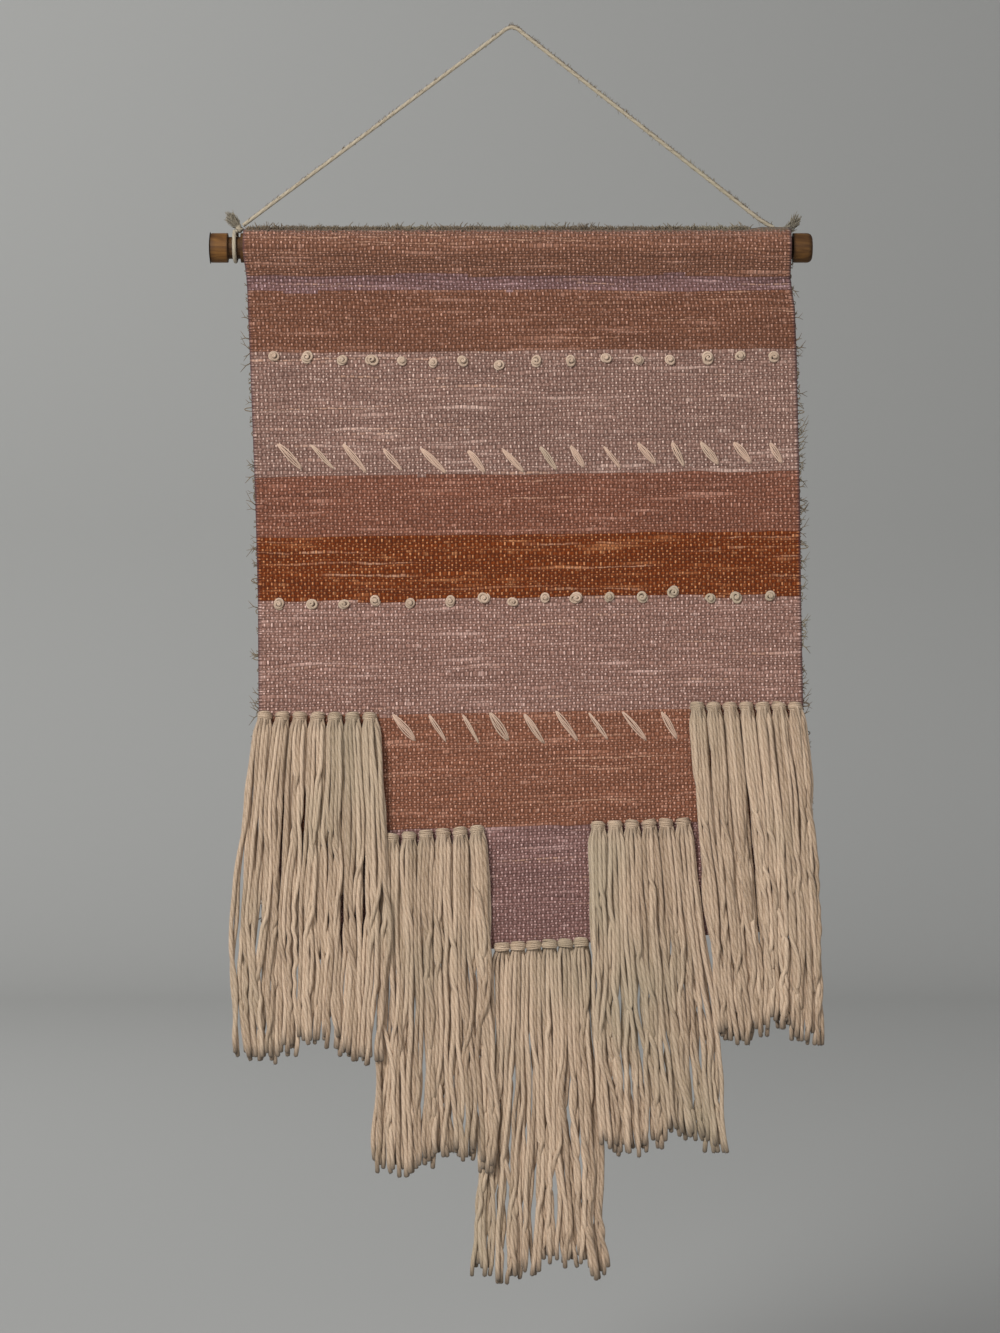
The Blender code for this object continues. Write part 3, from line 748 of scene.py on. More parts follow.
@dataclass(frozen=True)
class HungForm:
    """The sheet as it hangs: over the rod, sewn down behind it and straight down in soft ripples."""

    rod_drop: float = 164.0 * MM
    rod_radius: float = 11.0 * MM
    thickness: float = 2.5 * MM
    clearance: float = 0.6 * MM
    seam_drop: float = 26.0 * MM
    flap_drop: float = 35.0 * MM
    layer_gap: float = 0.8 * MM
    seam_depth: float = -1.5 * MM
    hung_depth: float = 0.5 * MM
    settled_drop: float = 120.0 * MM
    mouth_start: float = 177.0 * MM
    mouth_end: float = 188.0 * MM
    mouth_rise: float = 1.6 * MM
    tuck_front: float = 2.2 * MM
    tuck_back: float = 5.0 * MM
    tuck_reach: float = 1.5 * MM
    cut_back: float = 20.0 * MM
    cut_start: float = 150.0 * MM
    cut_angle_back: float = radians(95.0)
    cut_angle_front: float = radians(111.0)
    hem_drop: float = 520.4 * MM
    lean_centre: float = -7.5 * MM
    lean_top: float = 0.011
    lean_hem: float = 0.050
    lean_power: int = 5
    ripple_height: float = 0.9 * MM
    ripple_width: float = 165.0 * MM
    ripple_length: float = 240.0 * MM
    ripple_phase: float = 1.1
    cross_ripple: float = 0.6
    cross_width: float = 1.7
    edge_curl: float = 1.6 * MM
    curl_power: int = 8
    flap_steps: int = 3
    side_steps: int = 6
    selvages: tuple[Selvage, ...] = (
        Selvage(0, -201.0, 208.5),
        Selvage(30, -198.5, 209.5),
        Selvage(45, -198.0, 212.0),
        Selvage(84, -196.5, 213.5),
        Selvage(189, -192.5, 216.0),
        Selvage(264, -190.5, 216.8),
        Selvage(339, -190.0, 218.2),
        Selvage(530, -187.5, 221.0),
    )

    def edges(self, drop: float) -> tuple[float, float]:
        """Give the sheet's left and right edge at a drop.

        Args:
            drop: The drop below the rod's axis.

        Returns:
            The two edges' places across.
        """
        for upper, lower in zip(self.selvages, self.selvages[1:]):
            if drop <= lower.drop * MM:
                break
        share = min(max((drop / MM - upper.drop) / (lower.drop - upper.drop), 0.0), 1.0)
        return mix(upper.left, lower.left, share) * MM, mix(upper.right, lower.right, share) * MM

    def leaning(self, across: float, drop: float) -> float:
        """Give a weft line's drop at a place across the sheet, as the lines climb to the right."""
        lean = self.lean_top + self.lean_hem * (drop / self.hem_drop) ** self.lean_power
        return drop - lean * ease(drop, self.seam_drop, self.settled_drop) * (across - self.lean_centre)

    def depth(self, across: float, drop: float) -> float:
        """Give the depth of the middle of the hung sheet.

        Args:
            across: The place across the sheet.
            drop: The drop below the rod's axis.

        Returns:
            The depth.
        """
        settled = ease(drop, self.seam_drop, self.settled_drop)
        fall = pi * drop / self.ripple_length
        ripple = sin(tau * across / self.ripple_width + self.ripple_phase) * sin(fall)
        ripple += self.cross_ripple * sin(tau * across / (self.cross_width * self.ripple_width) - fall)
        left, right = self.edges(drop)
        edge = abs(2.0 * (across - left) / (right - left) - 1.0)
        curl = self.edge_curl * min(edge, 1.0) ** self.curl_power
        even = mix(self.seam_depth, self.hung_depth, settled)
        return even + settled * (self.ripple_height * ripple - curl)

    def face(self, across: float, drop: float, out: float = 0.0) -> tuple[float, float, float]:
        """Give a point on the sheet's face, or standing out from it.

        Args:
            across: Its place across the sheet.
            drop: Its drop below the rod's axis.
            out: How far it stands in front of the face.

        Returns:
            The point.
        """
        held = min(drop, self.leaning(across, self.hem_drop))
        return across, self.depth(across, held) - self.thickness / 2 - out, -self.rod_drop - drop

    def fold(self, across: float, steps: int) -> list[tuple[float, float, float | None]]:
        """Give the middle line of the fold round the rod, from the flap's edge behind to the seam.

        Args:
            across: The place across the sheet.
            steps: How many steps the round stretch has.

        Returns:
            Depth, height above the rod's axis and angle round the rod of each point.
        """
        opening = self.mouth_rise * ease(across, self.mouth_start, self.mouth_end)
        radius = self.rod_radius + self.clearance + opening + self.thickness / 2
        back = self.seam_depth + self.thickness + self.layer_gap
        ends = []
        for depth in (back, self.seam_depth):
            reach = hypot(depth, self.seam_drop)
            ends.append((atan2(-self.seam_drop, depth) % tau, acos(radius / reach)))
        last, first = ends[0][0] + ends[0][1] - tau, ends[1][0] - ends[1][1]
        line = []
        for part in range(self.flap_steps):
            line.append((back, -mix(self.flap_drop, self.seam_drop, part / self.flap_steps), None))
        start = (radius * cos(last), radius * sin(last))
        for part in range(self.side_steps):
            line.append((*self._between((back, -self.seam_drop), start, part / self.side_steps), None))
        for step in range(steps + 1):
            angle = mix(last, first, step / steps)
            line.append((radius * cos(angle), radius * sin(angle), angle))
        end = (radius * cos(first), radius * sin(first))
        seam = (self.seam_depth, -self.seam_drop)
        for part in range(1, self.side_steps):
            line.append((*self._between(end, seam, part / self.side_steps), pi))
        return line

    def cut(self, angle: float | None) -> float:
        """Give how much of the right mouth's cut applies at an angle round the rod."""
        return 1.0 if angle is None else 1.0 - ease(angle, self.cut_angle_back, self.cut_angle_front)

    @staticmethod
    def _between(start: tuple, end: tuple, share: float) -> tuple[float, float]:
        """Give a point on a straight line."""
        return mix(start[0], end[0], share), mix(start[1], end[1], share)


# The pieces


class Groove(NamedTuple):
    """A shallow groove round the rod, from one place along it to another."""

    start: float
    end: float


@dataclass
class Dowel:
    """The wooden rod, turned smooth, with rounded rims and a shallow groove for each tie."""

    left: float = -226.5 * MM
    right: float = 225.0 * MM
    left_rounding: float = 1.8 * MM
    right_rounding: float = 3.8 * MM
    groove_radius: float = 8.2 * MM
    groove_slope: float = 0.4 * MM
    grooves: tuple[Groove, ...] = (Groove(-213.0 * MM, -203.2 * MM), Groove(197.2 * MM, 210.5 * MM))
    lines: tuple[float, ...] = (-221.5 * MM, -214.2 * MM, -197.0 * MM, 193.0 * MM, 211.5 * MM, 218.5 * MM)
    sides: int = 96
    rim_segments: int = 6
    end_inset: float = 2.5 * MM
    margin: float = 0.1 * MM
    slack: float = 0.01 * MM
    groove_shade_reach: float = 4.0 * MM
    groove_shade: float = 0.85
    rim_darkening: float = 0.8
    rim_fade: tuple[float, float] = (0.5 * MM, 4.5 * MM)
    finish: WoodFinish = field(default_factory=WoodFinish)

    def build(self, form: HungForm) -> bpy.types.Object:
        """Turn the rod from a cylinder.

        Args:
            form: The hung form, which says where the rod lies.

        Returns:
            The rod.
        """
        bpy.ops.object.select_all(action="DESELECT")
        bpy.ops.mesh.primitive_cylinder_add(
            vertices=self.sides,
            radius=form.rod_radius,
            depth=self.right - self.left,
            location=((self.left + self.right) / 2, 0.0, -form.rod_drop),
            rotation=(0.0, pi / 2, 0.0),
        )
        rod = bpy.context.object
        rod.name = "oiled_dowel"
        bpy.ops.object.transform_apply(location=True, rotation=True, scale=True)
        bpy.ops.object.mode_set(mode="EDIT")
        for place in self.lines:
            self._score(place)
        for groove in self.grooves:
            self._turn_groove(rod, form, groove)
        for end, rounding in ((self.left, self.left_rounding), (self.right, self.right_rounding)):
            self._select(rod, end - self.margin, end + self.margin)
            bpy.ops.mesh.region_to_loop()
            bpy.ops.mesh.bevel(offset=rounding, segments=self.rim_segments, affect="EDGES")
            self._select(rod, end - self.margin, end + self.margin)
            bpy.ops.mesh.inset(thickness=self.end_inset, use_individual=True)
        bpy.ops.object.mode_set(mode="OBJECT")
        bpy.ops.object.shade_smooth_by_angle(angle=radians(40.0))
        self._mark_rims(rod, form)
        rod.data.materials.append(self.finish.make())
        return settle_piece(rod, "oiled_wood", "rod")

    def _turn_groove(self, rod: bpy.types.Object, form: HungForm, groove: Groove) -> None:
        """Cut one groove's four lines round the rod and draw its floor in.

        Args:
            rod: The rod.
            form: The hung form.
            groove: The groove.
        """
        floor = (groove.start + self.groove_slope, groove.end - self.groove_slope)
        for place in (groove.start, *floor, groove.end):
            self._score(place)
        self._select(rod, *floor)
        draw_in = self.groove_radius / form.rod_radius
        bpy.ops.transform.resize(
            value=(1.0, draw_in, draw_in), center_override=(0.0, 0.0, -form.rod_drop)
        )

    @staticmethod
    def _score(place: float) -> None:
        """Cut one line round the rod at a place along it."""
        bpy.ops.mesh.select_all(action="SELECT")
        bpy.ops.mesh.bisect(plane_co=(place, 0.0, 0.0), plane_no=(1.0, 0.0, 0.0))

    def _select(self, rod: bpy.types.Object, start: float, end: float) -> None:
        """Select the rod's faces that lie between two places along it.

        Args:
            rod: The rod.
            start: The first place.
            end: The second place.
        """
        bpy.ops.mesh.select_mode(type="FACE")
        bpy.ops.mesh.select_all(action="DESELECT")
        mesh = bmesh.from_edit_mesh(rod.data)
        for face in mesh.faces:
            places = [corner.co.x for corner in face.verts]
            if min(places) > start - self.slack and max(places) < end + self.slack:
                face.select = True
        bmesh.update_edit_mesh(rod.data)

    def _mark_rims(self, rod: bpy.types.Object, form: HungForm) -> None:
        """Mark how near each point is to a rim, where the wood is darker, and mark each groove with a strip
        beside it towards the cloth for painted shade.

        Args:
            rod: The rod.
            form: The hung form.
        """
        first, second = self.grooves
        # Painted shade in each groove and in a strip beside it towards the cloth.
        groove_shade_spans = (
            (first.start - self.margin, first.end + self.groove_shade_reach),
            (second.start - self.groove_shade_reach, second.end + self.margin),
        )
        rims = rod.data.attributes.new(TIP, "FLOAT", "POINT")
        for point, mark in zip(rod.data.vertices, rims.data):
            end = min(abs(point.co.x - self.left), abs(point.co.x - self.right))
            out = hypot(point.co.y, point.co.z + form.rod_drop)
            at_rim = ease(out, 0.6 * form.rod_radius, form.rod_radius)
            mark.value = self.rim_darkening * at_rim * (1.0 - ease(end, *self.rim_fade))
            for start, stop in groove_shade_spans:
                if start < point.co.x < stop:
                    mark.value = self.groove_shade


@dataclass
class WovenSheet:
    """The cloth: one thin sheet over the rod and down to its hem."""

    warp_pitch: float = 3.1 * MM
    weft_pitch: float = 2.15 * MM
    columns: int = 150
    fold_steps: int = 26
    row_step: float = 2.9 * MM
    hem_reach: float = 4.0 * MM
    past_last_band: float = 1.4
    bands: tuple[Band, ...] = (
        Band(0.0, shade(122, 81, 61), shade(198, 152, 132)),
        Band(21.2 * MM, shade(122, 89, 85), shade(198, 164, 164)),
        Band(33.2 * MM, shade(116, 74, 54), shade(192, 146, 126)),
        Band(78.0 * MM, shade(138, 105, 93), shade(220, 189, 174)),
        Band(169.0 * MM, shade(124, 76, 57), shade(202, 152, 132)),
        Band(215.0 * MM, shade(109, 44, 0), shade(206, 142, 96)),
        Band(262.0 * MM, shade(143, 106, 93), shade(226, 190, 177)),
        Band(347.0 * MM, shade(132, 83, 61), shade(212, 161, 138)),
        Band(434.0 * MM, shade(128, 93, 87), shade(214, 177, 170)),
    )

    def build(self, form: HungForm) -> bpy.types.Object:
        """Lay the sheet's grid on its hung form and give it its thickness.

        Args:
            form: The hung form.

        Returns:
            The sheet.
        """
        rows = self._rows(form)
        left, right = form.edges(0.0)
        wide = (right - left) / self.warp_pitch
        points, weave = [], []
        for column in range(self.columns + 1):
            share = column / self.columns
            line, drops = self._column(form, share, rows)
            points.extend(line)
            weave.extend((share * wide, drop) for drop in drops)
        height = len(points) // (self.columns + 1)
        faces = []
        for column in range(self.columns):
            for row in range(height - 1):
                corner = column * height + row
                faces.append((corner, corner + 1, corner + height + 1, corner + height))
        mesh = bpy.data.meshes.new("woven_sheet")
        mesh.from_pydata(points, [], faces)
        layer = mesh.uv_layers.new(name=WEAVE_MAP)
        for loop, spot in zip(mesh.loops, layer.data):
            spot.uv = weave[loop.vertex_index]
        sheet = bpy.data.objects.new("woven_sheet", mesh)
        bpy.context.collection.objects.link(sheet)
        solid = sheet.modifiers.new("thickness", "SOLIDIFY")
        solid.thickness = form.thickness
        solid.offset = 0.0
        bpy.ops.object.select_all(action="DESELECT")
        sheet.select_set(True)
        bpy.context.view_layer.objects.active = sheet
        bpy.ops.object.modifier_apply(modifier=solid.name)
        mesh.shade_smooth()
        longest = self.bands[-1].drop * self.past_last_band
        quarter = (form.rod_radius + form.clearance + form.thickness) * pi / 2
        crown = -(quarter + self.row_step) / self.weft_pitch
        mesh.materials.append(WeaveFinish(self.bands, self.weft_pitch, longest, wide, crown).make())
        return settle_piece(sheet, "woven_cloth", "cloth")

    def flat_size(self, form: HungForm) -> tuple[float, float]:
        """Give the sheet's width and length before it was hung.

        Args:
            form: The hung form.

        Returns:
            The width and the length.
        """
        fold = [(depth, height) for depth, height, _ in form.fold(0.0, self.fold_steps)]
        round_rod = sum(hypot(b[0] - a[0], b[1] - a[1]) for a, b in zip(fold, fold[1:]))
        left, right = form.edges(form.hem_drop / 2)
        return right - left, round_rod + form.hem_drop + self.hem_reach - form.seam_drop

    def _rows(self, form: HungForm) -> list[float]:
        """Give the drops of the sheet's rows between its seam and its hem.

        Args:
            form: The hung form.

        Returns:
            The drops.
        """
        hem = form.hem_drop + self.hem_reach
        count = ceil((hem - form.seam_drop) / self.row_step)
        return [mix(form.seam_drop, hem, row / count) for row in range(count + 1)]

    def _column(
        self, form: HungForm, share: float, rows: Sequence[float]
    ) -> tuple[list[tuple[float, float, float]], list[float]]:
        """Give one column of the sheet from the flap's edge to the hem.

        Args:
            form: The hung form.
            share: How far across the sheet the column stands.
            rows: The drops of the rows below the seam.

        Returns:
            The column's points, and their places along the warp in weft yarns.
        """
        left, right = form.edges(0.0)
        across = mix(left, right, share)
        line = []
        for index, (depth, height, angle) in enumerate(form.fold(across, self.fold_steps)):
            tuck = mix(form.tuck_front, form.tuck_back, ease(depth, 0.0, form.tuck_reach)) * (1.0 - share)
            place = across + tuck * ease(-height, 0.0, form.seam_drop)
            place -= form.cut_back * form.cut(angle) * ease(across, form.cut_start, right)
            depth, height, _ = form.fold(place, self.fold_steps)[index]
            line.append((place, depth, height - form.rod_drop))
        path = np.array(line)
        steps = np.linalg.norm(np.diff(path[:, 1:], axis=0), axis=1)
        above = np.concatenate([np.cumsum(steps[::-1])[::-1], [0.0]])
        drops = [(form.seam_drop - length - self.row_step) / self.weft_pitch for length in above]
        for drop in rows:
            leaned = form.leaning(across, drop)
            edge_left, edge_right = form.edges(leaned)
            place = mix(edge_left, edge_right, share)
            line.append((place, form.depth(place, leaned), -form.rod_drop - leaned))
            drops.append(drop / self.weft_pitch)
        return line, drops


class KnotPair(NamedTuple):
    """One French knot of the upper row and the one under it, in millimetres."""

    upper_across: float
    upper_drop: float
    lower_across: float
    lower_drop: float


@dataclass
class FrenchKnots:
    """Two rows of French knots: yarn wound twice and drawn down on the sheet."""

    yarn: float = 1.02 * MM
    winding: float = 3.3 * MM
    rise: float = 2.2 * MM
    dip: float = 0.6 * MM
    steps: int = 44
    sizes: tuple[float, float] = (0.82, 1.12)
    squash: tuple[float, float] = (0.88, 1.12)
    turns: tuple[float, float] = (2.1, 2.7)
    shadow_ring_reach: float = 2.8 * MM
    shadow_ring_yarn: float = 0.9 * MM
    shadow_ring_rise: float = 0.3 * MM
    shadow_ring_points: int = 7
    knots: tuple[KnotPair, ...] = (
        KnotPair(-178.5, 81.2, -174.8, 267.2),
        KnotPair(-153.8, 81.9, -150.0, 267.2),
        KnotPair(-127.5, 84.2, -126.0, 267.2),
        KnotPair(-105.0, 84.2, -102.8, 264.9),
        KnotPair(-82.5, 84.9, -76.5, 266.4),
        KnotPair(-59.2, 86.4, -46.5, 264.9),
        KnotPair(-36.8, 84.9, -21.0, 262.7),
        KnotPair(-9.8, 87.9, 0.8, 265.7),
        KnotPair(18.0, 84.9, 24.8, 262.7),
        KnotPair(44.2, 84.9, 48.0, 262.7),
        KnotPair(70.5, 82.7, 72.8, 261.9),
        KnotPair(94.5, 84.2, 97.5, 261.9),
        KnotPair(118.5, 84.2, 120.8, 258.2),
        KnotPair(147.0, 82.7, 148.5, 262.7),
        KnotPair(171.0, 81.2, 168.0, 261.9),
        KnotPair(196.5, 81.9, 193.5, 261.2),
    )

    def build(self, form: HungForm, material: bpy.types.Material) -> bpy.types.Object:
        """Wind each knot.

        Args:
            form: The hung form that the knots sit on.
            material: The yarn's finish.

        Returns:
            The knots.
        """
        draw = np.random.default_rng(11)
        mesh = YarnMesh()
        for pair in self.knots:
            for across, drop in ((pair.upper_across, pair.upper_drop), (pair.lower_across, pair.lower_drop)):
                self._wind(mesh, form, across * MM, drop * MM, draw)
        return settle_piece(mesh.build("french_knots", material), "cotton_fringe")

    def _wind(
        self, mesh: YarnMesh, form: HungForm, across: float, drop: float, draw: np.random.Generator
    ) -> None:
        """Wind one knot in an open turn and a tighter, higher one, over a dark turn that lies flat as a
        painted shadow under the knot.

        Args:
            mesh: The yarn mesh that it goes to.
            form: The hung form.
            across: The knot's place across the sheet.
            drop: Its drop below the rod's axis.
            draw: The source of its unevenness.
        """
        turn, lump = draw.uniform(0.0, tau, 2)
        size = draw.uniform(*self.sizes)
        wide, tall = draw.uniform(*self.squash, 2)
        turns = draw.uniform(*self.turns)
        path = []
        for step in range(self.steps + 1):
            share = step / self.steps
            angle = turn + share * turns * tau
            uneven = 1.0 + 0.16 * sin(1.6 * angle + lump)
            reach = self.winding * size * uneven * mix(1.0, 0.14, ease(share, 0.30, 0.95))
            out = self.yarn * 0.5 + self.rise * ease(share, 0.15, 0.75) - self.dip * ease(share, 0.85, 1.0)
            path.append(
                form.face(across + reach * wide * cos(angle), drop + reach * tall * sin(angle), out)
            )
        widths = self.yarn * (1.0 + 0.1 * np.sin(np.linspace(0.0, 17.0, len(path)) + lump))
        mesh.add(np.array(path), widths, sides=8, tone=draw.uniform(0.45, 1.0))
        # Painted shadow: a dark flat turn under the knot that shows round its edge.
        shadow_ring = []
        for angle in range(self.shadow_ring_points):
            aside, below = self.shadow_ring_reach * cos(angle), self.shadow_ring_reach * sin(angle)
            shadow_ring.append(form.face(across + aside, drop + below, self.shadow_ring_rise))
        mesh.add(np.array(shadow_ring), self.shadow_ring_yarn, sides=6, tone=0.1)


class Stitch(NamedTuple):
    """One slanting stitch: where it starts, and how far it runs across and down, in millimetres."""

    across: float
    drop: float
    run: float
    fall: float


@dataclass
class SlantingStitches:
    """Two rows of slanting stitches, each of a few fine strands side by side."""

    strand: float = 0.56 * MM
    spread: float = 1.22 * MM
    rise: float = 1.3 * MM
    sunk: float = 0.6 * MM
    layer: float = 0.3 * MM
    steps: int = 12
    stitches: tuple[Stitch, ...] = (
        Stitch(-175.5, 147.2, 18.0, 18.7),
        Stitch(-151.5, 147.2, 18.0, 18.7),
        Stitch(-126.8, 147.2, 17.3, 21.0),
        Stitch(-96.8, 150.2, 14.3, 17.2),
        Stitch(-68.2, 150.9, 18.7, 18.0),
        Stitch(-33.0, 152.4, 12.8, 15.8),
        Stitch(-7.5, 150.9, 16.5, 17.3),
        Stitch(21.0, 149.4, 12.8, 17.3),
        Stitch(44.2, 148.7, 9.8, 15.7),
        Stitch(69.0, 148.7, 12.0, 16.5),
        Stitch(94.5, 146.4, 12.7, 15.8),
        Stitch(120.0, 145.7, 9.0, 18.0),
        Stitch(141.8, 145.7, 12.7, 16.5),
        Stitch(166.5, 145.7, 12.7, 15.7),
        Stitch(193.5, 146.4, 9.0, 15.0),
        Stitch(-89.2, 350.4, 16.4, 18.8),
        Stitch(-62.2, 350.4, 12.7, 20.3),
        Stitch(-36.8, 350.4, 12.0, 21.0),
        Stitch(-16.5, 348.9, 13.5, 20.3),
        Stitch(9.0, 349.7, 15.0, 21.7),
        Stitch(33.0, 347.4, 15.8, 21.8),
        Stitch(57.8, 348.9, 14.2, 20.3),
        Stitch(83.2, 348.2, 17.3, 21.0),
        Stitch(112.5, 348.2, 11.3, 19.5),
    )

    def build(self, form: HungForm, material: bpy.types.Material) -> bpy.types.Object:
        """Sew each stitch.

        Args:
            form: The hung form that the stitches lie on.
            material: The thread's finish.

        Returns:
            The stitches.
        """
        draw = np.random.default_rng(12)
        mesh = YarnMesh()
        for stitch in self.stitches:
            count = int(draw.integers(3, 6))
            width = draw.uniform(0.8, 1.15) * self.spread
            for strand in range(count):
                offset = (strand - (count - 1) / 2) * width + draw.uniform(-0.15, 0.15) * MM
                path = self._lay(form, stitch, offset, self.layer * (strand % 2), draw)
                mesh.add(path, self.strand, sides=6, tone=draw.uniform(0.3, 1.0))
        return settle_piece(mesh.build("slanting_stitches", material), "cotton_fringe")

    def _lay(
        self, form: HungForm, stitch: Stitch, offset: float, lift: float, draw: np.random.Generator
    ) -> Path:
        """Lay one strand of a stitch, drawn in at both ends.

        Args:
            form: The hung form.
            stitch: The stitch.
            offset: How far to the stitch's side the strand lies in its middle.
            lift: How much higher than the lowest strand it lies.
            draw: The source of its unevenness.

        Returns:
            The points along its middle.
        """
        length = hypot(stitch.run, stitch.fall)
        side = (-stitch.fall / length, stitch.run / length)
        sway = draw.uniform(-0.35, 0.35) * MM
        slip = draw.uniform(-0.03, 0.03, 2)
        path = []
        for step in range(self.steps + 1):
            share = step / self.steps
            belly = sin(pi * share)
            shift = offset * (0.18 + 0.82 * belly**0.8) + sway * sin(tau * share)
            along = mix(slip[0], 1.0 + slip[1], share)
            across = (stitch.across + stitch.run * along) * MM + side[0] * shift
            drop = (stitch.drop + stitch.fall * along) * MM + side[1] * shift
            path.append(form.face(across, drop, self.rise * belly**0.6 - self.sunk + lift))
        return np.array(path)


class Hold(Enum):
    """What a fringe's knots are tied round."""

    FACE = "weft of the face"
    HEM = "edge of the hem"


class Span(NamedTuple):
    """A measure at a fringe's first tassel and at its last one, in millimetres."""

    first: float
    last: float

    def at(self, share: float) -> float:
        """Give the measure in metres, at a share of the way from the first to the last."""
        return mix(self.first, self.last, share) * MM


class Fringe(NamedTuple):
    """One fringe, in millimetres: its tassels at the knots, halfway down and at the tips.

    The front says how far its last tassel stands in front of the first ones.
    """

    name: str
    tassels: int
    root: Span
    root_drop: Span
    middle: Span
    tip: Span
    tip_drop: float
    front: float = 0.0
    hold: Hold = Hold.FACE


class Swing(NamedTuple):
    """One wave of the strands: its reach, its length and how far along it may shift."""

    reach: float
    length: float
    shift: float


@dataclass(frozen=True)
class StrandPlan:
    """What one strand does on its way down from its knot."""

    hold: Hold
    root: float
    middle: float
    tip: float
    root_drop: float
    tip_drop: float
    pitch: float
    neck: tuple[float, float]
    front: float
    layer: int
    column: float
    lower: float
    turnover: float
    sway: np.ndarray
    waves: np.ndarray
    crimp: bool
    tone: float
    size: float


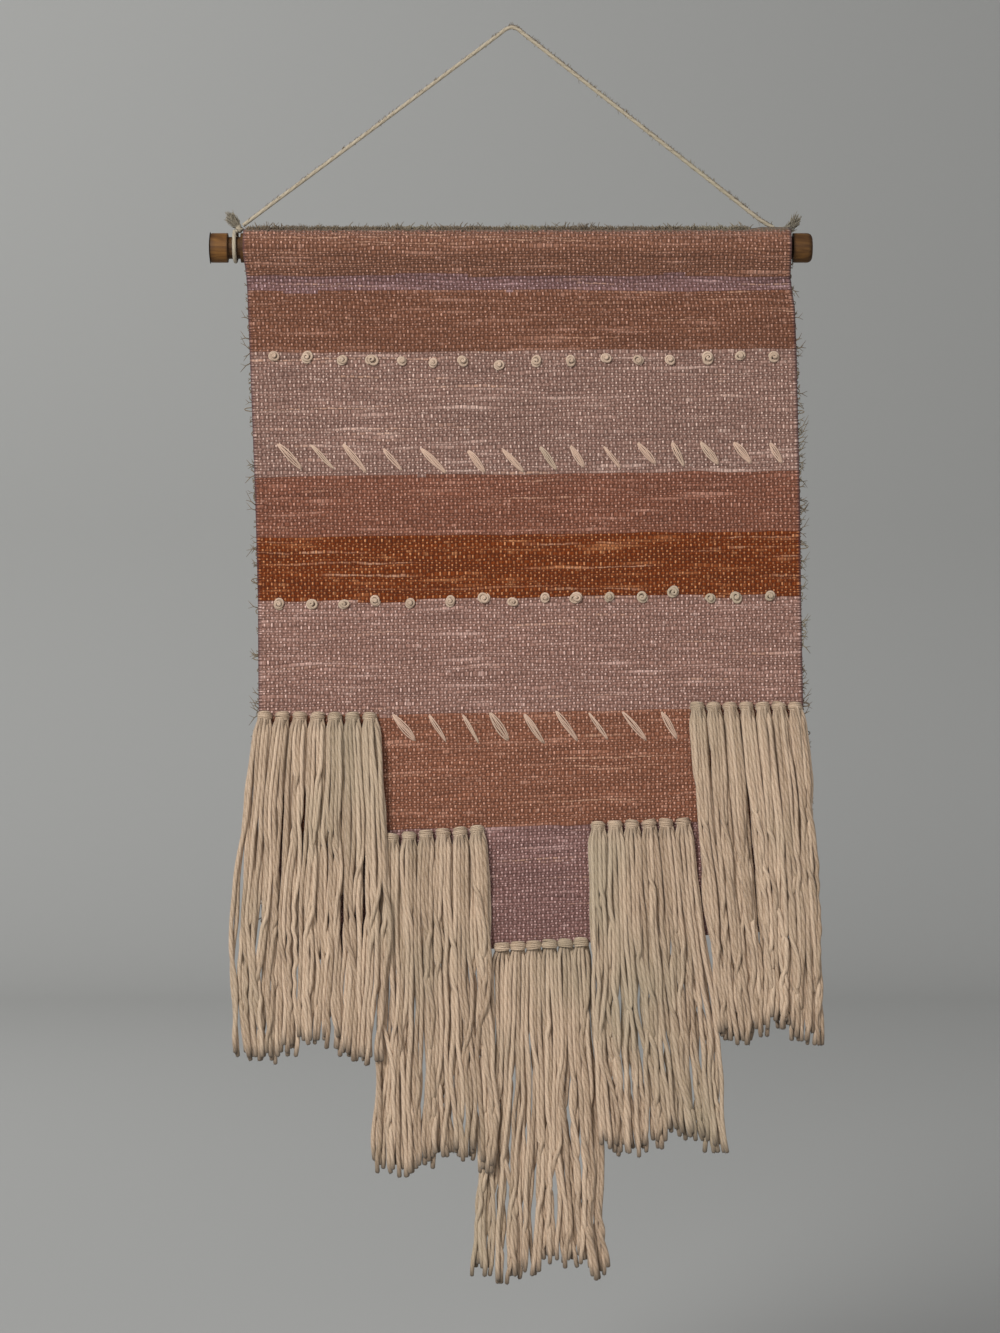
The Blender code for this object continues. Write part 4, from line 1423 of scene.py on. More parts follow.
@dataclass
class Fringes:
    """Five fringes of cotton strands, which lie packed beside and over each other as they hang."""

    strand_radius: float = 1.62 * MM
    strands: int = 9
    sides: int = 8
    level_step: float = 3.0 * MM
    layer_pitch: float = 3.0 * MM
    neck_drop: float = 3.2 * MM
    opened_drop: float = 10.0 * MM
    neck_size: float = 0.68
    neck_width: float = 3.3 * MM
    neck: tuple[tuple[float, float], ...] = (
        (-0.95, 0.1),
        (-0.62, -0.55),
        (-0.50, 0.6),
        (-0.18, -0.9),
        (0.05, 0.4),
        (0.20, -0.9),
        (0.58, -0.55),
        (0.62, 0.6),
        (0.95, 0.1),
    )
    swings: tuple[Swing, ...] = (
        Swing(0.35 * MM, 4.6 * MM, 5.0),
        Swing(1.2 * MM, 10.5 * MM, 4.0),
        Swing(2.0 * MM, 22.0 * MM, 3.0),
        Swing(1.2 * MM, 31.0 * MM, 3.0),
    )
    crimp_share: float = 0.07
    crimp_reach: float = 1.7 * MM
    crimp_length: float = 2.6 * MM
    widths: tuple[float, float] = (0.86, 1.34)
    layer_sway: float = 1.3 * MM
    layer_wave: float = 17.0 * MM
    tip_fall: float = 7.0 * MM
    tip_uneven: tuple[float, float] = (-5.0, 5.0)
    farthest_back: float = 12.0 * MM
    hem_overhang: float = 8.0 * MM
    hem_back: float = 1.6 * MM
    neck_gap: float = 0.4 * MM
    strand_gap: float = 0.3 * MM
    face_gap: float = 0.1 * MM
    rounds: int = 30
    neighbours: int = 28
    closeness: float = 0.93
    push_share: float = 0.30
    pull_share: float = 0.07
    soften_share: float = 0.12
    point_step: float = 2.6 * MM
    slim_length: float = 9.0 * MM
    grey_length: float = 11.0 * MM
    tip_steps: tuple[float, ...] = (0.25, 0.45, 0.58, 0.64)
    tip_sizes: tuple[float, ...] = (1.0, 0.96, 0.80, 0.50, 0.12)
    wisps: int = 3
    wisp_lean: float = 1.3 * MM
    head_width: float = 9.8 * MM
    head_yarn: float = 0.82 * MM
    head_yarns: int = 5
    head_rise: float = 1.32 * MM
    head_depth: float = 7.4 * MM
    head_steps: int = 14
    head_sweep: float = radians(98.0)
    hem_wider: float = 1.12
    hem_flatter: float = 0.62
    table: tuple[Fringe, ...] = (
        Fringe(
            name="fringe_left",
            tassels=7,
            root=Span(-185.2, -106.5),
            root_drop=Span(350.5, 351.5),
            middle=Span(-198.5, -101.5),
            tip=Span(-199.0, -107.5),
            tip_drop=601.0,
            front=4.0,
        ),
        Fringe(
            name="fringe_middle_left",
            tassels=6,
            root=Span(-90.0, -26.2),
            root_drop=Span(442.0, 436.0),
            middle=Span(-92.0, -22.5),
            tip=Span(-95.0, -19.5),
            tip_drop=685.0,
        ),
        Fringe(
            name="fringe_centre",
            tassels=6,
            root=Span(-7.5, 51.8),
            root_drop=Span(523.9, 520.2),
            middle=Span(-13.5, 57.0),
            tip=Span(-22.5, 64.5),
            tip_drop=765.0,
            hold=Hold.HEM,
        ),
        Fringe(
            name="fringe_middle_right",
            tassels=6,
            root=Span(64.5, 128.2),
            root_drop=Span(433.0, 430.5),
            middle=Span(68.3, 140.0),
            tip=Span(74.3, 154.3),
            tip_drop=670.0,
        ),
        Fringe(
            name="fringe_right",
            tassels=7,
            root=Span(138.8, 212.2),
            root_drop=Span(343.7, 343.7),
            middle=Span(149.5, 223.5),
            tip=Span(162.0, 224.0),
            tip_drop=587.0,
        ),
    )

    def build(self, form: HungForm, material: bpy.types.Material) -> list[bpy.types.Object]:
        """Hang every strand, let them settle against each other and make a piece of each fringe.

        Args:
            form: The hung form that the fringes hang on.
            material: The yarn's finish.

        Returns:
            The fringes, from left to right.
        """
        draw = np.random.default_rng(21)
        plans = []
        for fringe in self.table:
            for tassel in range(fringe.tassels):
                plans.extend(self._plan_tassel(fringe, tassel, draw))
        top = min(plan.root_drop for plan in plans)
        deepest = max(plan.tip_drop for plan in plans)
        levels = top + self.level_step * np.arange(ceil((deepest - top) / self.level_step) + 2)
        shape = (len(levels), len(plans))
        targets = np.zeros((*shape, 2))
        limits = np.full(shape, self.farthest_back)
        active = np.zeros(shape, bool)
        sizes = np.full(shape, self.strand_radius)
        for index, plan in enumerate(plans):
            length = levels - plan.root_drop
            opened = np.clip((length - self.neck_drop) / (self.opened_drop - self.neck_drop), 0.0, 1.0)
            sizes[:, index] *= mix(self.neck_size, 1.0, opened) * plan.size
            self._aim(form, plan, levels, targets[:, index], limits[:, index], active[:, index])
        places = self._settle(targets, limits, active, sizes)
        pieces = []
        start = 0
        for fringe in self.table:
            count = fringe.tassels * self.strands
            mesh = YarnMesh()
            for index in range(start, start + count):
                self._spin(mesh, plans[index], levels, places[:, index], active[:, index], draw)
            for tassel in range(fringe.tassels):
                self._tie_head(mesh, form, fringe, tassel, draw)
            piece = mesh.build(f"{fringe.name}_yarn", material)
            pieces.append(settle_piece(piece, "cotton_fringe", fringe.name))
            start += count
        return pieces

    def _plan_tassel(self, fringe: Fringe, tassel: int, draw: np.random.Generator) -> list[StrandPlan]:
        """Plan one tassel's strands.

        Args:
            fringe: The fringe.
            tassel: The tassel's number in it.
            draw: The source of its unevenness.

        Returns:
            What each strand does on its way down.
        """
        share = tassel / (fringe.tassels - 1)
        pitch = abs(fringe.tip.last - fringe.tip.first) / (fringe.tassels - 1) * MM
        fall = self.tip_fall * sin(1.3 * tassel + 0.4)
        order = draw.permutation(self.strands)
        sway = draw.uniform(-1.0, 1.0, 4)
        plans = []
        for strand in range(self.strands):
            column = (strand - (self.strands - 1) / 2) / self.strands
            lower = (order[strand] - (self.strands - 1) / 2) / self.strands
            plan = StrandPlan(
                hold=fringe.hold,
                root=fringe.root.at(share),
                middle=fringe.middle.at(share),
                tip=fringe.tip.at(share),
                root_drop=fringe.root_drop.at(share),
                tip_drop=fringe.tip_drop * MM + fall + draw.uniform(*self.tip_uneven) * MM,
                pitch=pitch,
                neck=self.neck[strand],
                front=fringe.front * MM * share**3,
                layer=strand % 2,
                column=column,
                lower=mix(column, lower, 0.7),
                turnover=draw.uniform(0.04, 0.6),
                sway=sway,
                waves=draw.uniform(-1.0, 1.0, 8),
                crimp=draw.uniform() < self.crimp_share,
                tone=draw.uniform(0.0, 1.0),
                size=draw.uniform(0.90, 1.10),
            )
            plans.append(plan)
        return plans

    def _aim(
        self,
        form: HungForm,
        plan: StrandPlan,
        levels: np.ndarray,
        target: np.ndarray,
        limit: np.ndarray,
        active: np.ndarray,
    ) -> None:
        """Say where one strand would hang by itself at each level.

        Args:
            form: The hung form.
            plan: The strand's plan.
            levels: The drops of the levels.
            target: Its place across and its depth at each level, filled here.
            limit: How far back it may lie at each level, filled here.
            active: Whether it reaches each level, filled here.
        """
        nip = plan.neck[1] * 0.8 * self.neck_width
        clear = form.thickness / 2 + self.strand_radius + self.face_gap
        for index, drop in enumerate(levels):
            down = (drop - plan.root_drop) / (plan.tip_drop - plan.root_drop)
            active[index] = 0.0 <= down <= 1.0
            down = min(max(down, 0.0), 1.0)
            length = drop - plan.root_drop
            opened = ease(length, self.neck_drop, self.opened_drop)
            across = plan.root * (1 - down) * (1 - 2 * down) + plan.middle * 4 * down * (1 - down)
            across += plan.tip * down * (2 * down - 1)
            column = mix(plan.column, plan.lower, ease(down, plan.turnover, plan.turnover + 0.25))
            wide = mix(*self.widths, ease(down, 0.15, 0.7))
            across += mix(plan.neck[0] * self.neck_width, column * wide * plan.pitch, opened)
            across += opened * self._stray(plan, length, down)
            held = min(drop, form.leaning(across, form.hem_drop))
            sheet = form.depth(across, held)
            wave = self.layer_sway * plan.waves[4] * sin(length / self.layer_wave)
            layer = plan.layer * self.layer_pitch + wave + plan.front * ease(down, 0.0, 0.3)
            if plan.hold is Hold.HEM:
                depth = mix(sheet + nip, sheet + self.hem_back - layer, opened)
            else:
                bound = self.neck_width - nip + self.neck_gap
                loose = self.strand_radius + self.strand_gap + layer
                depth = sheet - form.thickness / 2 - mix(bound, loose, opened)
                limit[index] = sheet - clear if drop < form.hem_drop + self.hem_overhang else sheet
            target[index] = (across, depth)

    def _stray(self, plan: StrandPlan, length: float, down: float) -> float:
        """Give how far a strand strays sideways on its way down.

        Args:
            plan: The strand's plan.
            length: The length below its knot.
            down: The same length as a share of all of it.

        Returns:
            How far it strays to the right.
        """
        waves, sway = plan.waves, plan.sway
        sources = ((waves[0], waves[1]), (waves[2], waves[3]), (waves[5], waves[6]), (sway[0], sway[1]))
        stray = 0.0
        for swing, (size, start) in zip(self.swings, sources):
            stray += swing.reach * size * sin(length / swing.length + swing.shift * start)
        if plan.crimp:
            start = 0.35 + 0.3 * abs(waves[7])
            crimp = self.crimp_reach * sin(length / self.crimp_length) * ease(down, start, start + 0.08)
            stray += crimp * (1.0 - ease(down, start + 0.2, 0.95))
        return (0.5 + 0.95 * down) * stray

    def _settle(
        self, targets: np.ndarray, limits: np.ndarray, active: np.ndarray, sizes: np.ndarray
    ) -> np.ndarray:
        """Push strands apart where they would lie in each other, and keep their runs soft.

        Args:
            targets: Where each strand would hang by itself.
            limits: How far back each may lie.
            active: Which levels each reaches.
            sizes: How thick each is.

        Returns:
            Where each strand hangs.
        """
        places = targets.copy()
        for _ in range(self.rounds):
            for gap in range(1, self.neighbours):
                apart = places[:, gap:] - places[:, :-gap]
                distance = np.sqrt((apart**2).sum(axis=2)) + 1e-7
                both = active[:, gap:] & active[:, :-gap]
                reach = self.closeness * (sizes[:, gap:] + sizes[:, :-gap])
                overlap = np.where(both, np.clip(reach - distance, 0.0, None), 0.0)
                push = apart * (self.push_share * overlap / distance)[..., None]
                places[:, gap:] += push
                places[:, :-gap] -= push
            places += (targets - places) * self.pull_share
            places[1:-1] += self.soften_share * (places[:-2] + places[2:] - 2.0 * places[1:-1])
            places[..., 1] = np.minimum(places[..., 1], limits)
        return places

    def _spin(
        self,
        mesh: YarnMesh,
        plan: StrandPlan,
        levels: np.ndarray,
        places: np.ndarray,
        active: np.ndarray,
        draw: np.random.Generator,
    ) -> None:
        """Spin one settled strand, with its blunt tip and a few wisps under it.

        Args:
            mesh: The yarn mesh that it goes to.
            plan: The strand's plan.
            levels: The drops of the levels.
            places: Its place across and its depth at each level.
            active: Which levels it reaches.
            draw: The source of its unevenness.
        """
        across, depth = places[active].T
        route = np.column_stack([across, depth, -HungForm.rod_drop - levels[active]])
        path = smooth_route(route, self.point_step)
        last, step = path[-1], path[-1] - path[-2]
        path = np.vstack([path, [last + step * part for part in self.tip_steps]])
        lengths = np.concatenate([[0.0], np.cumsum(np.linalg.norm(np.diff(path, axis=0), axis=1))])
        swell = 1.0 + 0.06 * np.sin(lengths / (5.0 * MM) + 9.0 * plan.tone) + 0.08 * lengths / lengths[-1]
        opened = np.clip((lengths - self.neck_drop) / self.slim_length, 0.0, 1.0)
        slim = mix(self.neck_size, 1.0, opened)
        blunt = np.ones(len(path))
        blunt[-len(self.tip_sizes):] = self.tip_sizes
        greyed = np.clip(1.0 - (lengths[-1] - lengths) / self.grey_length, 0.0, 1.0) * 0.9
        # Painted shade just under the knot: the first length of each strand darkens towards the end colour
        # through the tip mark.
        under = np.clip(1.0 - lengths / self.grey_length, 0.0, 1.0) * 0.25
        widths = self.strand_radius * plan.size * swell * slim * blunt
        mesh.add(path, widths, self.sides, plan.tone, greyed + under)
        for _ in range(self.wisps):
            lean = draw.uniform(-1.0, 1.0, 2) * self.wisp_lean
            reach = draw.uniform(0.6, 2.4) * MM
            start = last + np.array([lean[0] * 0.7, lean[1] * 0.7, 1.0 * MM])
            end = start + np.array([lean[0] * 0.3, lean[1] * 0.3, -reach - 1.0 * MM])
            mesh.add(np.array([start, end]), np.array([0.3, 0.12]) * MM, 3, plan.tone, 0.9)

    def _tie_head(
        self, mesh: YarnMesh, form: HungForm, fringe: Fringe, tassel: int, draw: np.random.Generator
    ) -> None:
        """Tie one tassel's knot: fine yarns one under the other, drawn round the strands as a bun.

        Args:
            mesh: The yarn mesh that it goes to.
            form: The hung form.
            fringe: The fringe.
            tassel: The tassel's number in it.
            draw: The source of its unevenness.
        """
        share = tassel / (fringe.tassels - 1)
        across, drop = fringe.root.at(share), fringe.root_drop.at(share)
        hem = fringe.hold is Hold.HEM
        tilt, bow = draw.uniform(-0.12, 0.12), draw.uniform(0.3, 1.3) * MM
        half = (self.head_yarns - 1) / 2
        for yarn in range(self.head_yarns):
            height = (half - yarn) * self.head_rise + draw.uniform(-0.15, 0.15) * MM
            bun = sqrt(1.0 - (abs(yarn - half) / (half + 0.9)) ** 2)
            wide = self.head_width / 2 * mix(0.55, 1.0, bun) * draw.uniform(0.94, 1.06)
            wide *= self.hem_wider if hem else 1.0
            reach = (self.head_depth - self.head_yarn) * mix(0.75, 1.0, bun)
            tone = draw.uniform(0.1, 1.0)
            slant = tilt + draw.uniform(-0.09, 0.09)
            for back in (False, True) if hem else (False,):
                path = []
                for step in range(self.head_steps + 1):
                    turn = mix(-1.0, 1.0, step / self.head_steps)
                    side = wide * sin(turn * self.head_sweep)
                    out = reach * cos(turn * self.head_sweep)
                    out *= self.hem_flatter if hem else 1.0
                    lift = height * (1.0 - 0.25 * turn * turn) - bow * turn * turn + slant * side
                    point = list(form.face(across + side, drop - lift, out))
                    if back:
                        point[1] += 2 * out + form.thickness
                    path.append(point)
                mesh.add(np.array(path), self.head_yarn, 7, tone)


@dataclass
class LooseThreads:
    """Hairs and thread ends that stand off the sheet's edges and the top of its fold."""

    radius: float = 0.26 * MM
    tufts: int = 560
    nap: int = 3600
    clumps: int = 46
    left_margin: float = 2.0 * MM
    right_margin: float = 30.0 * MM
    tall_tufts: tuple[float, float] = (3.2, 6.2)
    short_tufts: tuple[float, float] = (1.6, 3.6)
    nap_heights: tuple[float, float] = (1.0, 3.0)
    sunk: float = 0.3 * MM
    tuft_steps: int = 3
    hairs: tuple[int, int] = (150, 290)
    loops: tuple[int, int] = (26, 44)
    loop_steps: int = 8
    fork_reach: float = 1.6 * MM
    inset: float = 0.7 * MM
    short_hairs: tuple[float, float] = (0.8, 2.8)
    long_hairs: tuple[float, float] = (3.4, 8.4)
    drops: tuple[float, float] = (12.0, 517.0)

    def build(self, form: HungForm, material: bpy.types.Material) -> bpy.types.Object:
        """Grow the hairs.

        Args:
            form: The hung form.
            material: The threads' finish.

        Returns:
            The threads.
        """
        draw = np.random.default_rng(31)
        mesh = YarnMesh()
        self._top_tufts(mesh, form, draw)
        for side in (-1, 1):
            self._selvage_hairs(mesh, form, side, draw)
            self._selvage_loops(mesh, form, side, draw)
        return settle_piece(mesh.build("loose_threads", material), "woven_cloth")

    def _top_tufts(self, mesh: YarnMesh, form: HungForm, draw: np.random.Generator) -> None:
        """Stand short thread ends along the top of the fold, over a dense nap, dark with painted shade.

        Args:
            mesh: The yarn mesh that they go to.
            form: The hung form.
            draw: The source of their unevenness.
        """
        left, right = form.edges(0.0)
        crown = form.rod_radius + form.clearance + form.thickness
        start, end = left + self.left_margin, right - self.right_margin
        clumps = draw.uniform(start + 1.0 * MM, end - 4.0 * MM, self.clumps)
        for index in range(self.tufts + self.nap):
            tuft = index < self.tufts
            across = draw.uniform(start, end)
            if tuft and draw.uniform() < 0.6:
                across = draw.choice(clumps) + draw.normal(0.0, 1.1) * MM
            angle = draw.normal(0.12, 0.22) if tuft else draw.uniform(-0.35, 0.40)
            tall = draw.uniform(*(self.tall_tufts if draw.uniform() < 0.25 else self.short_tufts))
            height = (tall if tuft else draw.uniform(*self.nap_heights)) * MM
            lean = draw.uniform(-0.8, 0.8) * height if tuft else draw.uniform(-2.0, 2.0) * MM
            path = []
            for step in range(self.tuft_steps + 1):
                share = step / self.tuft_steps
                reach = crown - self.sunk + height * share
                place = across + lean * share * share
                path.append((place, -reach * sin(angle), reach * cos(angle) - form.rod_drop))
            widths = np.linspace(1.0, 0.45, len(path)) * self.radius * draw.uniform(1.2, 2.6)
            tone = draw.uniform(0.0, 0.45) if tuft else draw.uniform(0.2, 0.9)
            mesh.add(np.array(path), widths, 3, tone)

    def _selvage_hairs(
        self, mesh: YarnMesh, form: HungForm, side: int, draw: np.random.Generator
    ) -> None:
        """Stand forked hairs along one selvage.

        Args:
            mesh: The yarn mesh that they go to.
            form: The hung form.
            side: -1 for the left selvage and 1 for the right one.
            draw: The source of their unevenness.
        """
        for _ in range(self.hairs[side > 0]):
            start, reach = self._edge_start(form, side, draw)
            swing = draw.uniform(-1.0, 1.0)
            out = np.array([side * reach, draw.uniform(-1.0, 1.0) * MM, swing * reach])
            fork = start + out * 0.45 + np.array([side * 0.3 * MM, 0.0, 0.2 * MM])
            for branch in range(2 if reach > self.fork_reach else 1):
                turn = np.array([0.0, 0.0, (branch * 1.4 - 0.4) * reach * draw.uniform(0.3, 0.7)])
                path = np.array([start, fork, start + out + turn])
                widths = np.array([1.5, 1.2, 0.5]) * self.radius * draw.uniform(0.9, 1.5)
                mesh.add(path, widths, 3, draw.uniform(0.0, 0.45))

    def _selvage_loops(
        self, mesh: YarnMesh, form: HungForm, side: int, draw: np.random.Generator
    ) -> None:
        """Let small loops of weft stand out along one selvage.

        Args:
            mesh: The yarn mesh that they go to.
            form: The hung form.
            side: -1 for the left selvage and 1 for the right one.
            draw: The source of their unevenness.
        """
        for _ in range(self.loops[side > 0]):
            start, reach = self._edge_start(form, side, draw)
            tall = draw.uniform(1.0, 2.0) * MM
            loop = []
            for step in range(self.loop_steps + 1):
                angle = mix(-0.5, 0.5, step / self.loop_steps) * pi
                loop.append(start + np.array([side * reach * 0.8 * cos(angle), 0.0, tall * sin(angle)]))
            mesh.add(np.array(loop), 1.5 * self.radius, 4, draw.uniform(0.2, 1.0))

    def _edge_start(
        self, form: HungForm, side: int, draw: np.random.Generator
    ) -> tuple[np.ndarray, float]:
        """Choose a place on a selvage and how far its hair reaches.

        Args:
            form: The hung form.
            side: -1 for the left selvage and 1 for the right one.
            draw: The source of the choice.

        Returns:
            The place and the reach.
        """
        drop = draw.uniform(*self.drops) * MM
        edge = form.edges(drop)[side > 0]
        reach = draw.uniform(*(self.short_hairs if draw.uniform() < 0.70 else self.long_hairs)) * MM
        depth = form.depth(edge, drop) + draw.uniform(-0.8, 0.8) * MM
        return np.array([edge - side * self.inset, depth, -form.rod_drop - drop]), reach


@dataclass
class HangingCord:
    """The twisted cotton cord, taut from one tie over the hanging point to the other."""

    radius: float = 1.5 * MM
    sides: int = 12
    lobes: int = 3
    step: float = 0.8 * MM
    twist: float = 8.0 * MM
    declared_step: float = 6.0 * MM
    hairs: int = 3400
    hair_widths: tuple[float, float, float] = (0.30 * MM, 0.22 * MM, 0.10 * MM)
    short_hairs: tuple[float, float] = (0.4, 1.2)
    long_hairs: tuple[float, float] = (1.4, 3.2)
    route: tuple[tuple[float, float, float], ...] = (
        (-0.2019, 0.0015, -0.1470),
        (-0.1900, 0.0014, -0.1381),
        (-0.1700, 0.0013, -0.1232),
        (-0.1450, 0.0011, -0.1047),
        (-0.1200, 0.0009, -0.0861),
        (-0.0950, 0.0007, -0.0675),
        (-0.0700, 0.0005, -0.0488),
        (-0.0450, 0.0003, -0.0301),
        (-0.0250, 0.0002, -0.0152),
        (-0.0100, 0.0001, -0.0040),
        (-0.0045, 0.0000, 0.0001),
        (0.0000, 0.0000, 0.0015),
        (0.0043, 0.0000, 0.0001),
        (0.0095, 0.0001, -0.0040),
        (0.0240, 0.0002, -0.0154),
        (0.0430, 0.0004, -0.0303),
        (0.0670, 0.0006, -0.0492),
        (0.0910, 0.0008, -0.0680),
        (0.1150, 0.0011, -0.0869),
        (0.1400, 0.0014, -0.1065),
        (0.1640, 0.0020, -0.1253),
        (0.1820, 0.0030, -0.1393),
        (0.1900, 0.0036, -0.1448),
        (0.1968, 0.0040, -0.1483),
    )

    def build(self, material: bpy.types.Material) -> bpy.types.Object:
        """Lay the cord.

        Args:
            material: The cord's finish.

        Returns:
            The cord.
        """
        path = smooth_route(self.route, self.step)
        mesh = YarnMesh()
        mesh.add(path, self.radius, self.sides, 0.75, lobes=self.lobes, twist=self.twist)
        cord = settle_piece(mesh.build("twisted_cord", material), "cotton_cord", "hanging_cord")
        return cord

    def fuzz(self, material: bpy.types.Material) -> bpy.types.Object:
        """Stand fine dark hairs off the cord, most of them upwards, so many that they also paint the shade
        along the cord's edges.

        Args:
            material: The hairs' finish.

        Returns:
            The hairs.
        """
        draw = np.random.default_rng(41)
        path = smooth_route(self.route, self.step)
        mesh = YarnMesh()
        for _ in range(self.hairs):
            index = int(draw.integers(2, len(path) - 2))
            turn = draw.normal(0.0, 0.8) if draw.uniform() < 0.75 else draw.uniform(0.0, tau)
            out = np.array([0.25 * cos(turn), 0.7 * sin(turn), cos(turn)])
            reach = draw.uniform(*(self.short_hairs if draw.uniform() < 0.85 else self.long_hairs)) * MM
            drift = draw.uniform(-1.5, 1.5) * MM
            along = path[index + 1] - path[index]
            along /= np.linalg.norm(along)
            start = path[index] + out * self.radius * 0.8
            middle = start + out * reach * 0.5 + along * drift * 0.3
            hair = np.array([start, middle, start + out * reach + along * drift])
            mesh.add(hair, np.array(self.hair_widths), 3, draw.uniform(0.0, 0.6))
        return settle_piece(mesh.build("cord_fuzz", material), "cotton_cord")


class Spot(NamedTuple):
    """A point by its place across, its depth and its height above the rod's axis, in millimetres."""

    across: float
    depth: float
    height: float

    def on(self, form: HungForm) -> np.ndarray:
        """Give the point itself."""
        return np.array([self.across, self.depth, self.height]) * MM - np.array([0.0, 0.0, form.rod_drop])


@dataclass
class CordTie:
    """One end of the cord: a turn round the rod's groove, its knot and its frayed tail."""

    name: str
    node: str
    across: float
    knot: Spot
    tail: tuple[Spot, ...]
    bushy: float
    seed: int
    radius: float = 1.5 * MM
    gap: float = 0.45 * MM
    groove_radius: float = 8.2 * MM
    lift: float = 2.4 * MM
    lift_power: int = 10
    twist: float = 8.0 * MM
    turn_steps: int = 88
    turns: float = 1.06
    first_angle: float = radians(80.0)
    slip: float = 0.7 * MM
    loops: int = 4
    loop_steps: int = 16
    loop_reach: float = 2.3 * MM
    tail_step: float = 0.8 * MM
    tail_size: float = 1.35
    brush_hairs: int = 300
    brush_step: float = 1.5 * MM
    brush_widths: tuple[float, float] = (0.36, 0.18)

    def build(
        self, form: HungForm, cord: bpy.types.Material, frayed: bpy.types.Material
    ) -> bpy.types.Object:
        """Tie it.

        Args:
            form: The hung form, which says where the rod lies.
            cord: The cord's finish.
            frayed: The finish of the frayed tail.

        Returns:
            The tie.
        """
        draw = np.random.default_rng(self.seed)
        mesh = YarnMesh()
        mesh.add(self._turn(form), self.radius, 10, 0.7, lobes=3, twist=self.twist)
        middle = self.knot.on(form)
        for _ in range(self.loops):
            lean = draw.uniform(0.0, tau)
            loop = []
            for step in range(self.loop_steps + 1):
                angle = tau * step / self.loop_steps
                up = cos(angle) * sin(lean) + 0.3 * sin(angle)
                out = np.array([cos(angle) * cos(lean), sin(angle) * 0.9, up])
                loop.append(middle + out * self.loop_reach)
            mesh.add(np.array(loop), self.radius * 0.85, 8, draw.uniform(0.4, 0.9))
        route = smooth_route([middle, *(spot.on(form) for spot in self.tail)], self.tail_step)
        ends = np.linspace(1.0, 0.75, len(route))
        widths = self.radius * self.tail_size * ends
        mesh.add(route, widths, 8, 0.95, np.linspace(0.0, 0.25, len(route)))
        piece = settle_piece(mesh.build(self.name, cord), "cotton_cord", self.node)
        settle_piece(self._brush(route, draw).build(f"{self.name}_brush", frayed), "cotton_cord")
        return piece

    def _turn(self, form: HungForm) -> Path:
        """Lay the turn round the rod's groove, drawn out towards the knot.

        Args:
            form: The hung form.

        Returns:
            The points along the turn.
        """
        towards = atan2(self.knot.height, self.knot.depth)
        turn = []
        for step in range(self.turn_steps + 1):
            share = step / self.turn_steps
            angle = tau * share * self.turns + self.first_angle
            slip = mix(-self.slip, self.slip, share)
            drawn = self.lift * max(cos(angle - towards), 0.0) ** self.lift_power
            reach = self.groove_radius + self.gap + self.radius + drawn
            turn.append((self.across + slip, reach * cos(angle), reach * sin(angle) - form.rod_drop))
        return np.array(turn)

    def _brush(self, route: Path, draw: np.random.Generator) -> YarnMesh:
        """Fray the tail into hairs that follow it and stand off it.

        Args:
            route: The points along the tail's middle.
            draw: The source of its unevenness.

        Returns:
            The hairs.
        """
        brush = YarnMesh()
        count = len(route)
        for _ in range(self.brush_hairs):
            start = int(draw.integers(0, max(count - 4, 1)))
            end = min(start + int(draw.integers(4, 10)), count - 1)
            away = draw.normal(0.0, 1.0, 3)
            away /= np.linalg.norm(away)
            stand = draw.uniform(0.4, 1.0) * self.bushy
            beyond = (route[end] - route[start]) * draw.uniform(0.0, 0.35)
            root = route[start] + away * 0.8 * MM
            middle = (route[start] + route[end]) / 2 + away * (0.5 * stand + 0.6 * MM)
            hair = smooth_route([root, middle, route[end] + beyond + away * stand], self.brush_step)
            widths = np.linspace(*self.brush_widths, len(hair)) * MM
            brush.add(hair, widths, 3, draw.uniform(0.0, 1.0), draw.uniform(0.2, 1.0))
        return brush


class Lamp(NamedTuple):
    """One soft light: where it hangs, how wide it is, its power in watts and what it faces."""

    name: str
    place: tuple[float, float, float]
    width: float
    power: float
    aim: tuple[float, float, float]


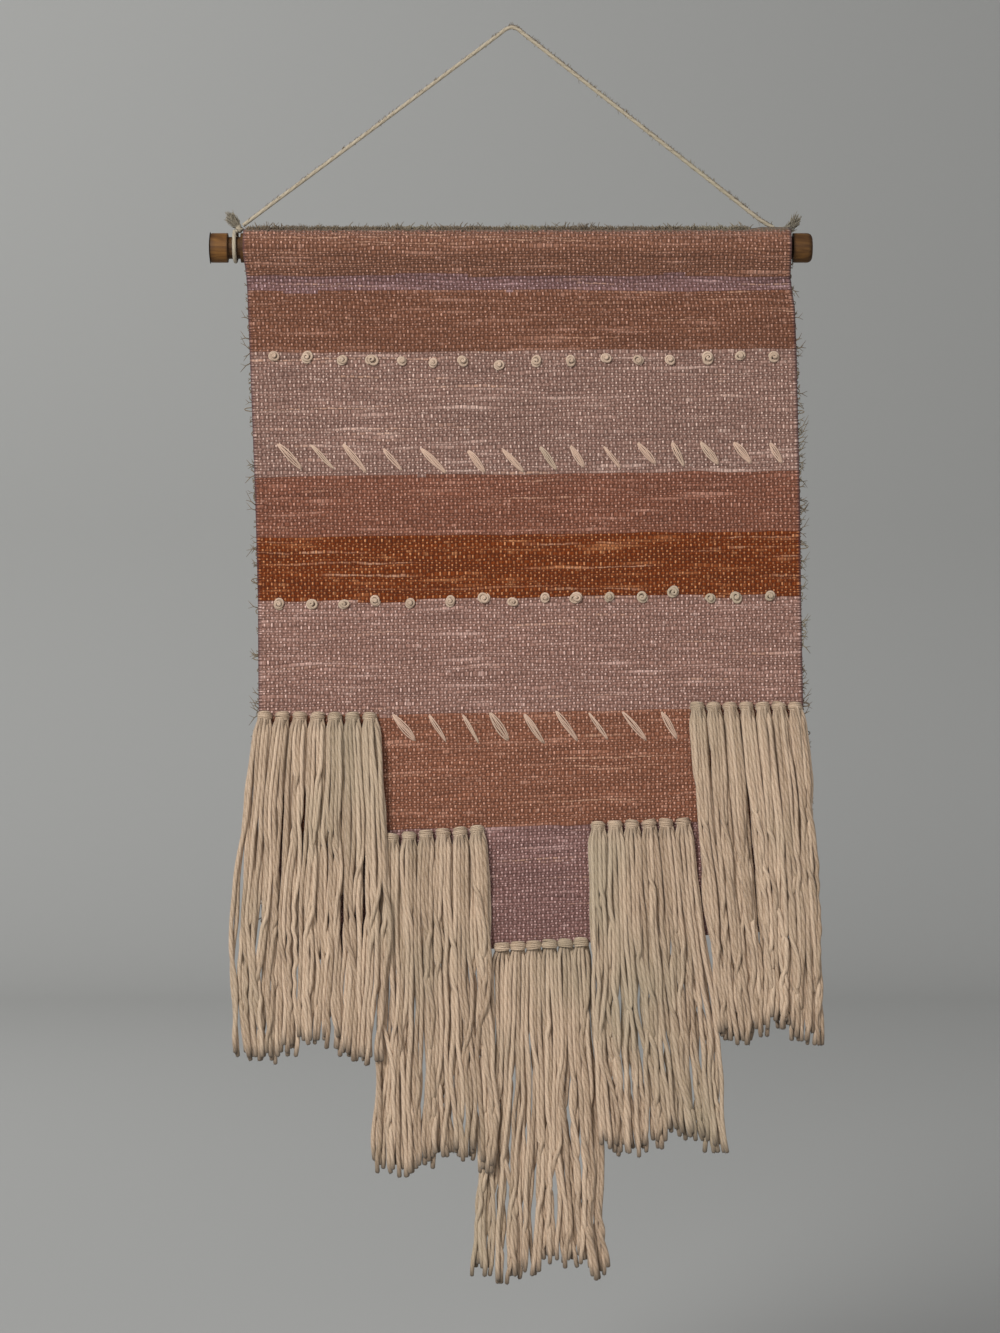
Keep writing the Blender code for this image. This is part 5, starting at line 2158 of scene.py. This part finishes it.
@dataclass
class Studio:
    """The pale floor and backdrop, the soft lights and the camera."""

    camera_lens: float = 85.0
    sensor: float = 36.0
    view_height: float = 1.0
    view_centre: tuple[float, float] = (-0.009, -0.478)
    floor_height: float = -1.15
    floor_size: float = 16.0
    backdrop_depth: float = 5.0
    backdrop_height: float = 7.0
    corner_radius: float = 1.0
    corner_segments: int = 16
    sky: Colour = shade(246, 247, 250)
    sky_strength: float = 0.34
    lamps: tuple[Lamp, ...] = (
        Lamp("key_light", (-1.5, -2.4, 0.9), 1.1, 88.0, (0.0, 0.0, -0.45)),
        Lamp("fill_light", (1.8, -2.4, -0.2), 1.8, 14.0, (0.0, 0.0, -0.45)),
        Lamp("backdrop_light", (-2.4, 1.6, 1.8), 2.2, 66.0, (-0.4, 5.0, 0.1)),
    )

    def build(self) -> None:
        """Set everything up."""
        self._camera()
        self._sweep()
        self._sky()
        for lamp in self.lamps:
            self._hang(lamp)

    def _camera(self) -> None:
        """Stand the camera square in front, as far off as the lens needs."""
        data = bpy.data.cameras.new("front_camera")
        data.lens = self.camera_lens
        data.sensor_width = self.sensor
        camera = bpy.data.objects.new("front_camera", data)
        bpy.context.collection.objects.link(camera)
        across, height = self.view_centre
        distance = self.view_height * self.camera_lens / self.sensor
        camera.location = (across, -distance, height)
        camera.rotation_euler = (pi / 2, 0.0, 0.0)
        bpy.context.scene.camera = camera

    def _sweep(self) -> None:
        """Make the floor and backdrop as one sheet with a round corner."""
        bpy.ops.object.select_all(action="DESELECT")
        middle = (0.0, self.backdrop_depth - self.floor_size / 2, self.floor_height)
        bpy.ops.mesh.primitive_plane_add(size=self.floor_size, location=middle)
        sweep = bpy.context.object
        sweep.name = "pale_sweep"
        bpy.ops.object.transform_apply(location=True, rotation=True, scale=True)
        bpy.ops.object.mode_set(mode="EDIT")
        bpy.ops.mesh.select_mode(type="EDGE")
        bpy.ops.mesh.select_all(action="DESELECT")
        mesh = bmesh.from_edit_mesh(sweep.data)
        far = max(mesh.edges, key=lambda edge: edge.verts[0].co.y + edge.verts[1].co.y)
        far.select = True
        bmesh.update_edit_mesh(sweep.data)
        bpy.ops.mesh.extrude_region_move(TRANSFORM_OT_translate={"value": (0.0, 0.0, self.backdrop_height)})
        bpy.ops.mesh.select_all(action="DESELECT")
        mesh = bmesh.from_edit_mesh(sweep.data)
        for edge in mesh.edges:
            edge.select = len(edge.link_faces) == 2
        bmesh.update_edit_mesh(sweep.data)
        bpy.ops.mesh.bevel(offset=self.corner_radius, segments=self.corner_segments, affect="EDGES")
        bpy.ops.object.mode_set(mode="OBJECT")
        sweep.data.shade_smooth()
        sweep.data.materials.append(PaintFinish().make())

    def _sky(self) -> None:
        """Light everything evenly from all round."""
        scene = bpy.context.scene
        scene.view_settings.view_transform = "Standard"
        world = bpy.data.worlds.new("even_sky")
        world.use_nodes = True
        sky = world.node_tree.nodes["Background"]
        sky.inputs["Color"].default_value = (*self.sky, 1.0)
        sky.inputs["Strength"].default_value = self.sky_strength
        scene.world = world

    @staticmethod
    def _hang(lamp: Lamp) -> None:
        """Hang one soft light.

        Args:
            lamp: What it is like.
        """
        data = bpy.data.lights.new(lamp.name, "AREA")
        data.shape = "DISK"
        data.size = lamp.width
        data.energy = lamp.power
        light = bpy.data.objects.new(lamp.name, data)
        light.location = lamp.place
        light.rotation_euler = (Vector(lamp.aim) - Vector(lamp.place)).to_track_quat("-Z", "Y").to_euler()
        bpy.context.collection.objects.link(light)


# The yarns' finishes

CORD_FINISH = YarnFinish(
    name="cream_cord",
    light=shade(192, 179, 156),
    dark=shade(90, 77, 60),
    end=shade(104, 96, 80),
    plies=3,
    twist=8.0 * MM,
    relief=0.2 * MM,
)
FRINGE_FINISH = YarnFinish(
    name="cream_cotton",
    light=shade(220, 194, 167),
    dark=shade(108, 83, 58),
    end=shade(82, 71, 60),
    plies=3,
    twist=9.0 * MM,
    relief=0.4 * MM,
)
THREAD_FINISH = YarnFinish(
    name="pink_thread",
    light=shade(212, 182, 160),
    dark=shade(146, 114, 96),
    end=shade(104, 92, 78),
    plies=1,
    twist=60.0 * MM,
    relief=0.1 * MM,
)
KNOT_FINISH = YarnFinish(
    name="knotted_cotton",
    light=shade(212, 186, 164),
    dark=shade(138, 114, 92),
    end=shade(104, 92, 78),
    plies=1,
    twist=40.0 * MM,
    relief=0.3 * MM,
)
# The hairs are real, but their colours are the yarn's colours darkened as in shade: painted shade.
SHADED_HAIR_FINISH = YarnFinish(
    name="loose_hair_in_painted_shade",
    light=shade(142, 124, 102),
    dark=shade(60, 52, 40),
    end=shade(92, 90, 76),
    plies=2,
    twist=4.0 * MM,
    relief=0.05 * MM,
)
BRUSH_FINISH = YarnFinish(
    name="brushed_cord",
    light=shade(184, 172, 150),
    dark=shade(84, 74, 60),
    end=shade(112, 104, 88),
    plies=2,
    twist=4.0 * MM,
    relief=0.05 * MM,
)

# The two ties

LEFT_TIE = CordTie(
    name="left_tie_cord",
    node="tie_left",
    across=-207.4 * MM,
    knot=Spot(-204.6, 1.5, 14.9),
    tail=(Spot(-207.8, 1.0, 18.5), Spot(-211.3, 0.5, 23.2)),
    bushy=5.6 * MM,
    seed=51,
)
RIGHT_TIE = CordTie(
    name="right_tie_cord",
    node="tie_right",
    across=200.5 * MM,
    knot=Spot(199.6, 4.0, 13.9),
    tail=(Spot(206.0, 4.0, 13.6), Spot(210.8, 3.5, 16.8), Spot(213.0, 3.0, 22.0)),
    bushy=5.2 * MM,
    seed=52,
)


def main() -> None:
    """Dress the model, piece by piece."""
    form = HungForm()
    Studio().build()
    LOG.info("studio is set up")
    cord_material = CORD_FINISH.make()
    shaded_hair_material = SHADED_HAIR_FINISH.make()
    brush_material = BRUSH_FINISH.make()
    hanging = HangingCord()
    cord = hanging.build(cord_material)
    hanging.fuzz(shaded_hair_material)
    LOG.info("cord is hung: %s", cord.name)
    rod = Dowel().build(form)
    LOG.info("rod is turned: %s", rod.name)
    cloth = WovenSheet()
    sheet = cloth.build(form)
    LOG.info("sheet is woven: %s", sheet.name)
    knots = FrenchKnots().build(form, KNOT_FINISH.make())
    LOG.info("knots are wound: %s", knots.name)
    stitches = SlantingStitches().build(form, THREAD_FINISH.make())
    LOG.info("stitches are sewn: %s", stitches.name)
    threads = LooseThreads().build(form, shaded_hair_material)
    LOG.info("threads are loose: %s", threads.name)
    fringes = Fringes().build(form, FRINGE_FINISH.make())
    LOG.info("fringes are hung: %s", ", ".join(fringe.name for fringe in fringes))
    for tie in (LEFT_TIE, RIGHT_TIE):
        tied = tie.build(form, cord_material, brush_material)
        LOG.info("cord is tied: %s", tied.name)
    cloth.flat_size(form)


if __name__ == "__main__":
    logging.basicConfig(level=logging.INFO, format="%(name)s: %(message)s")
    main()
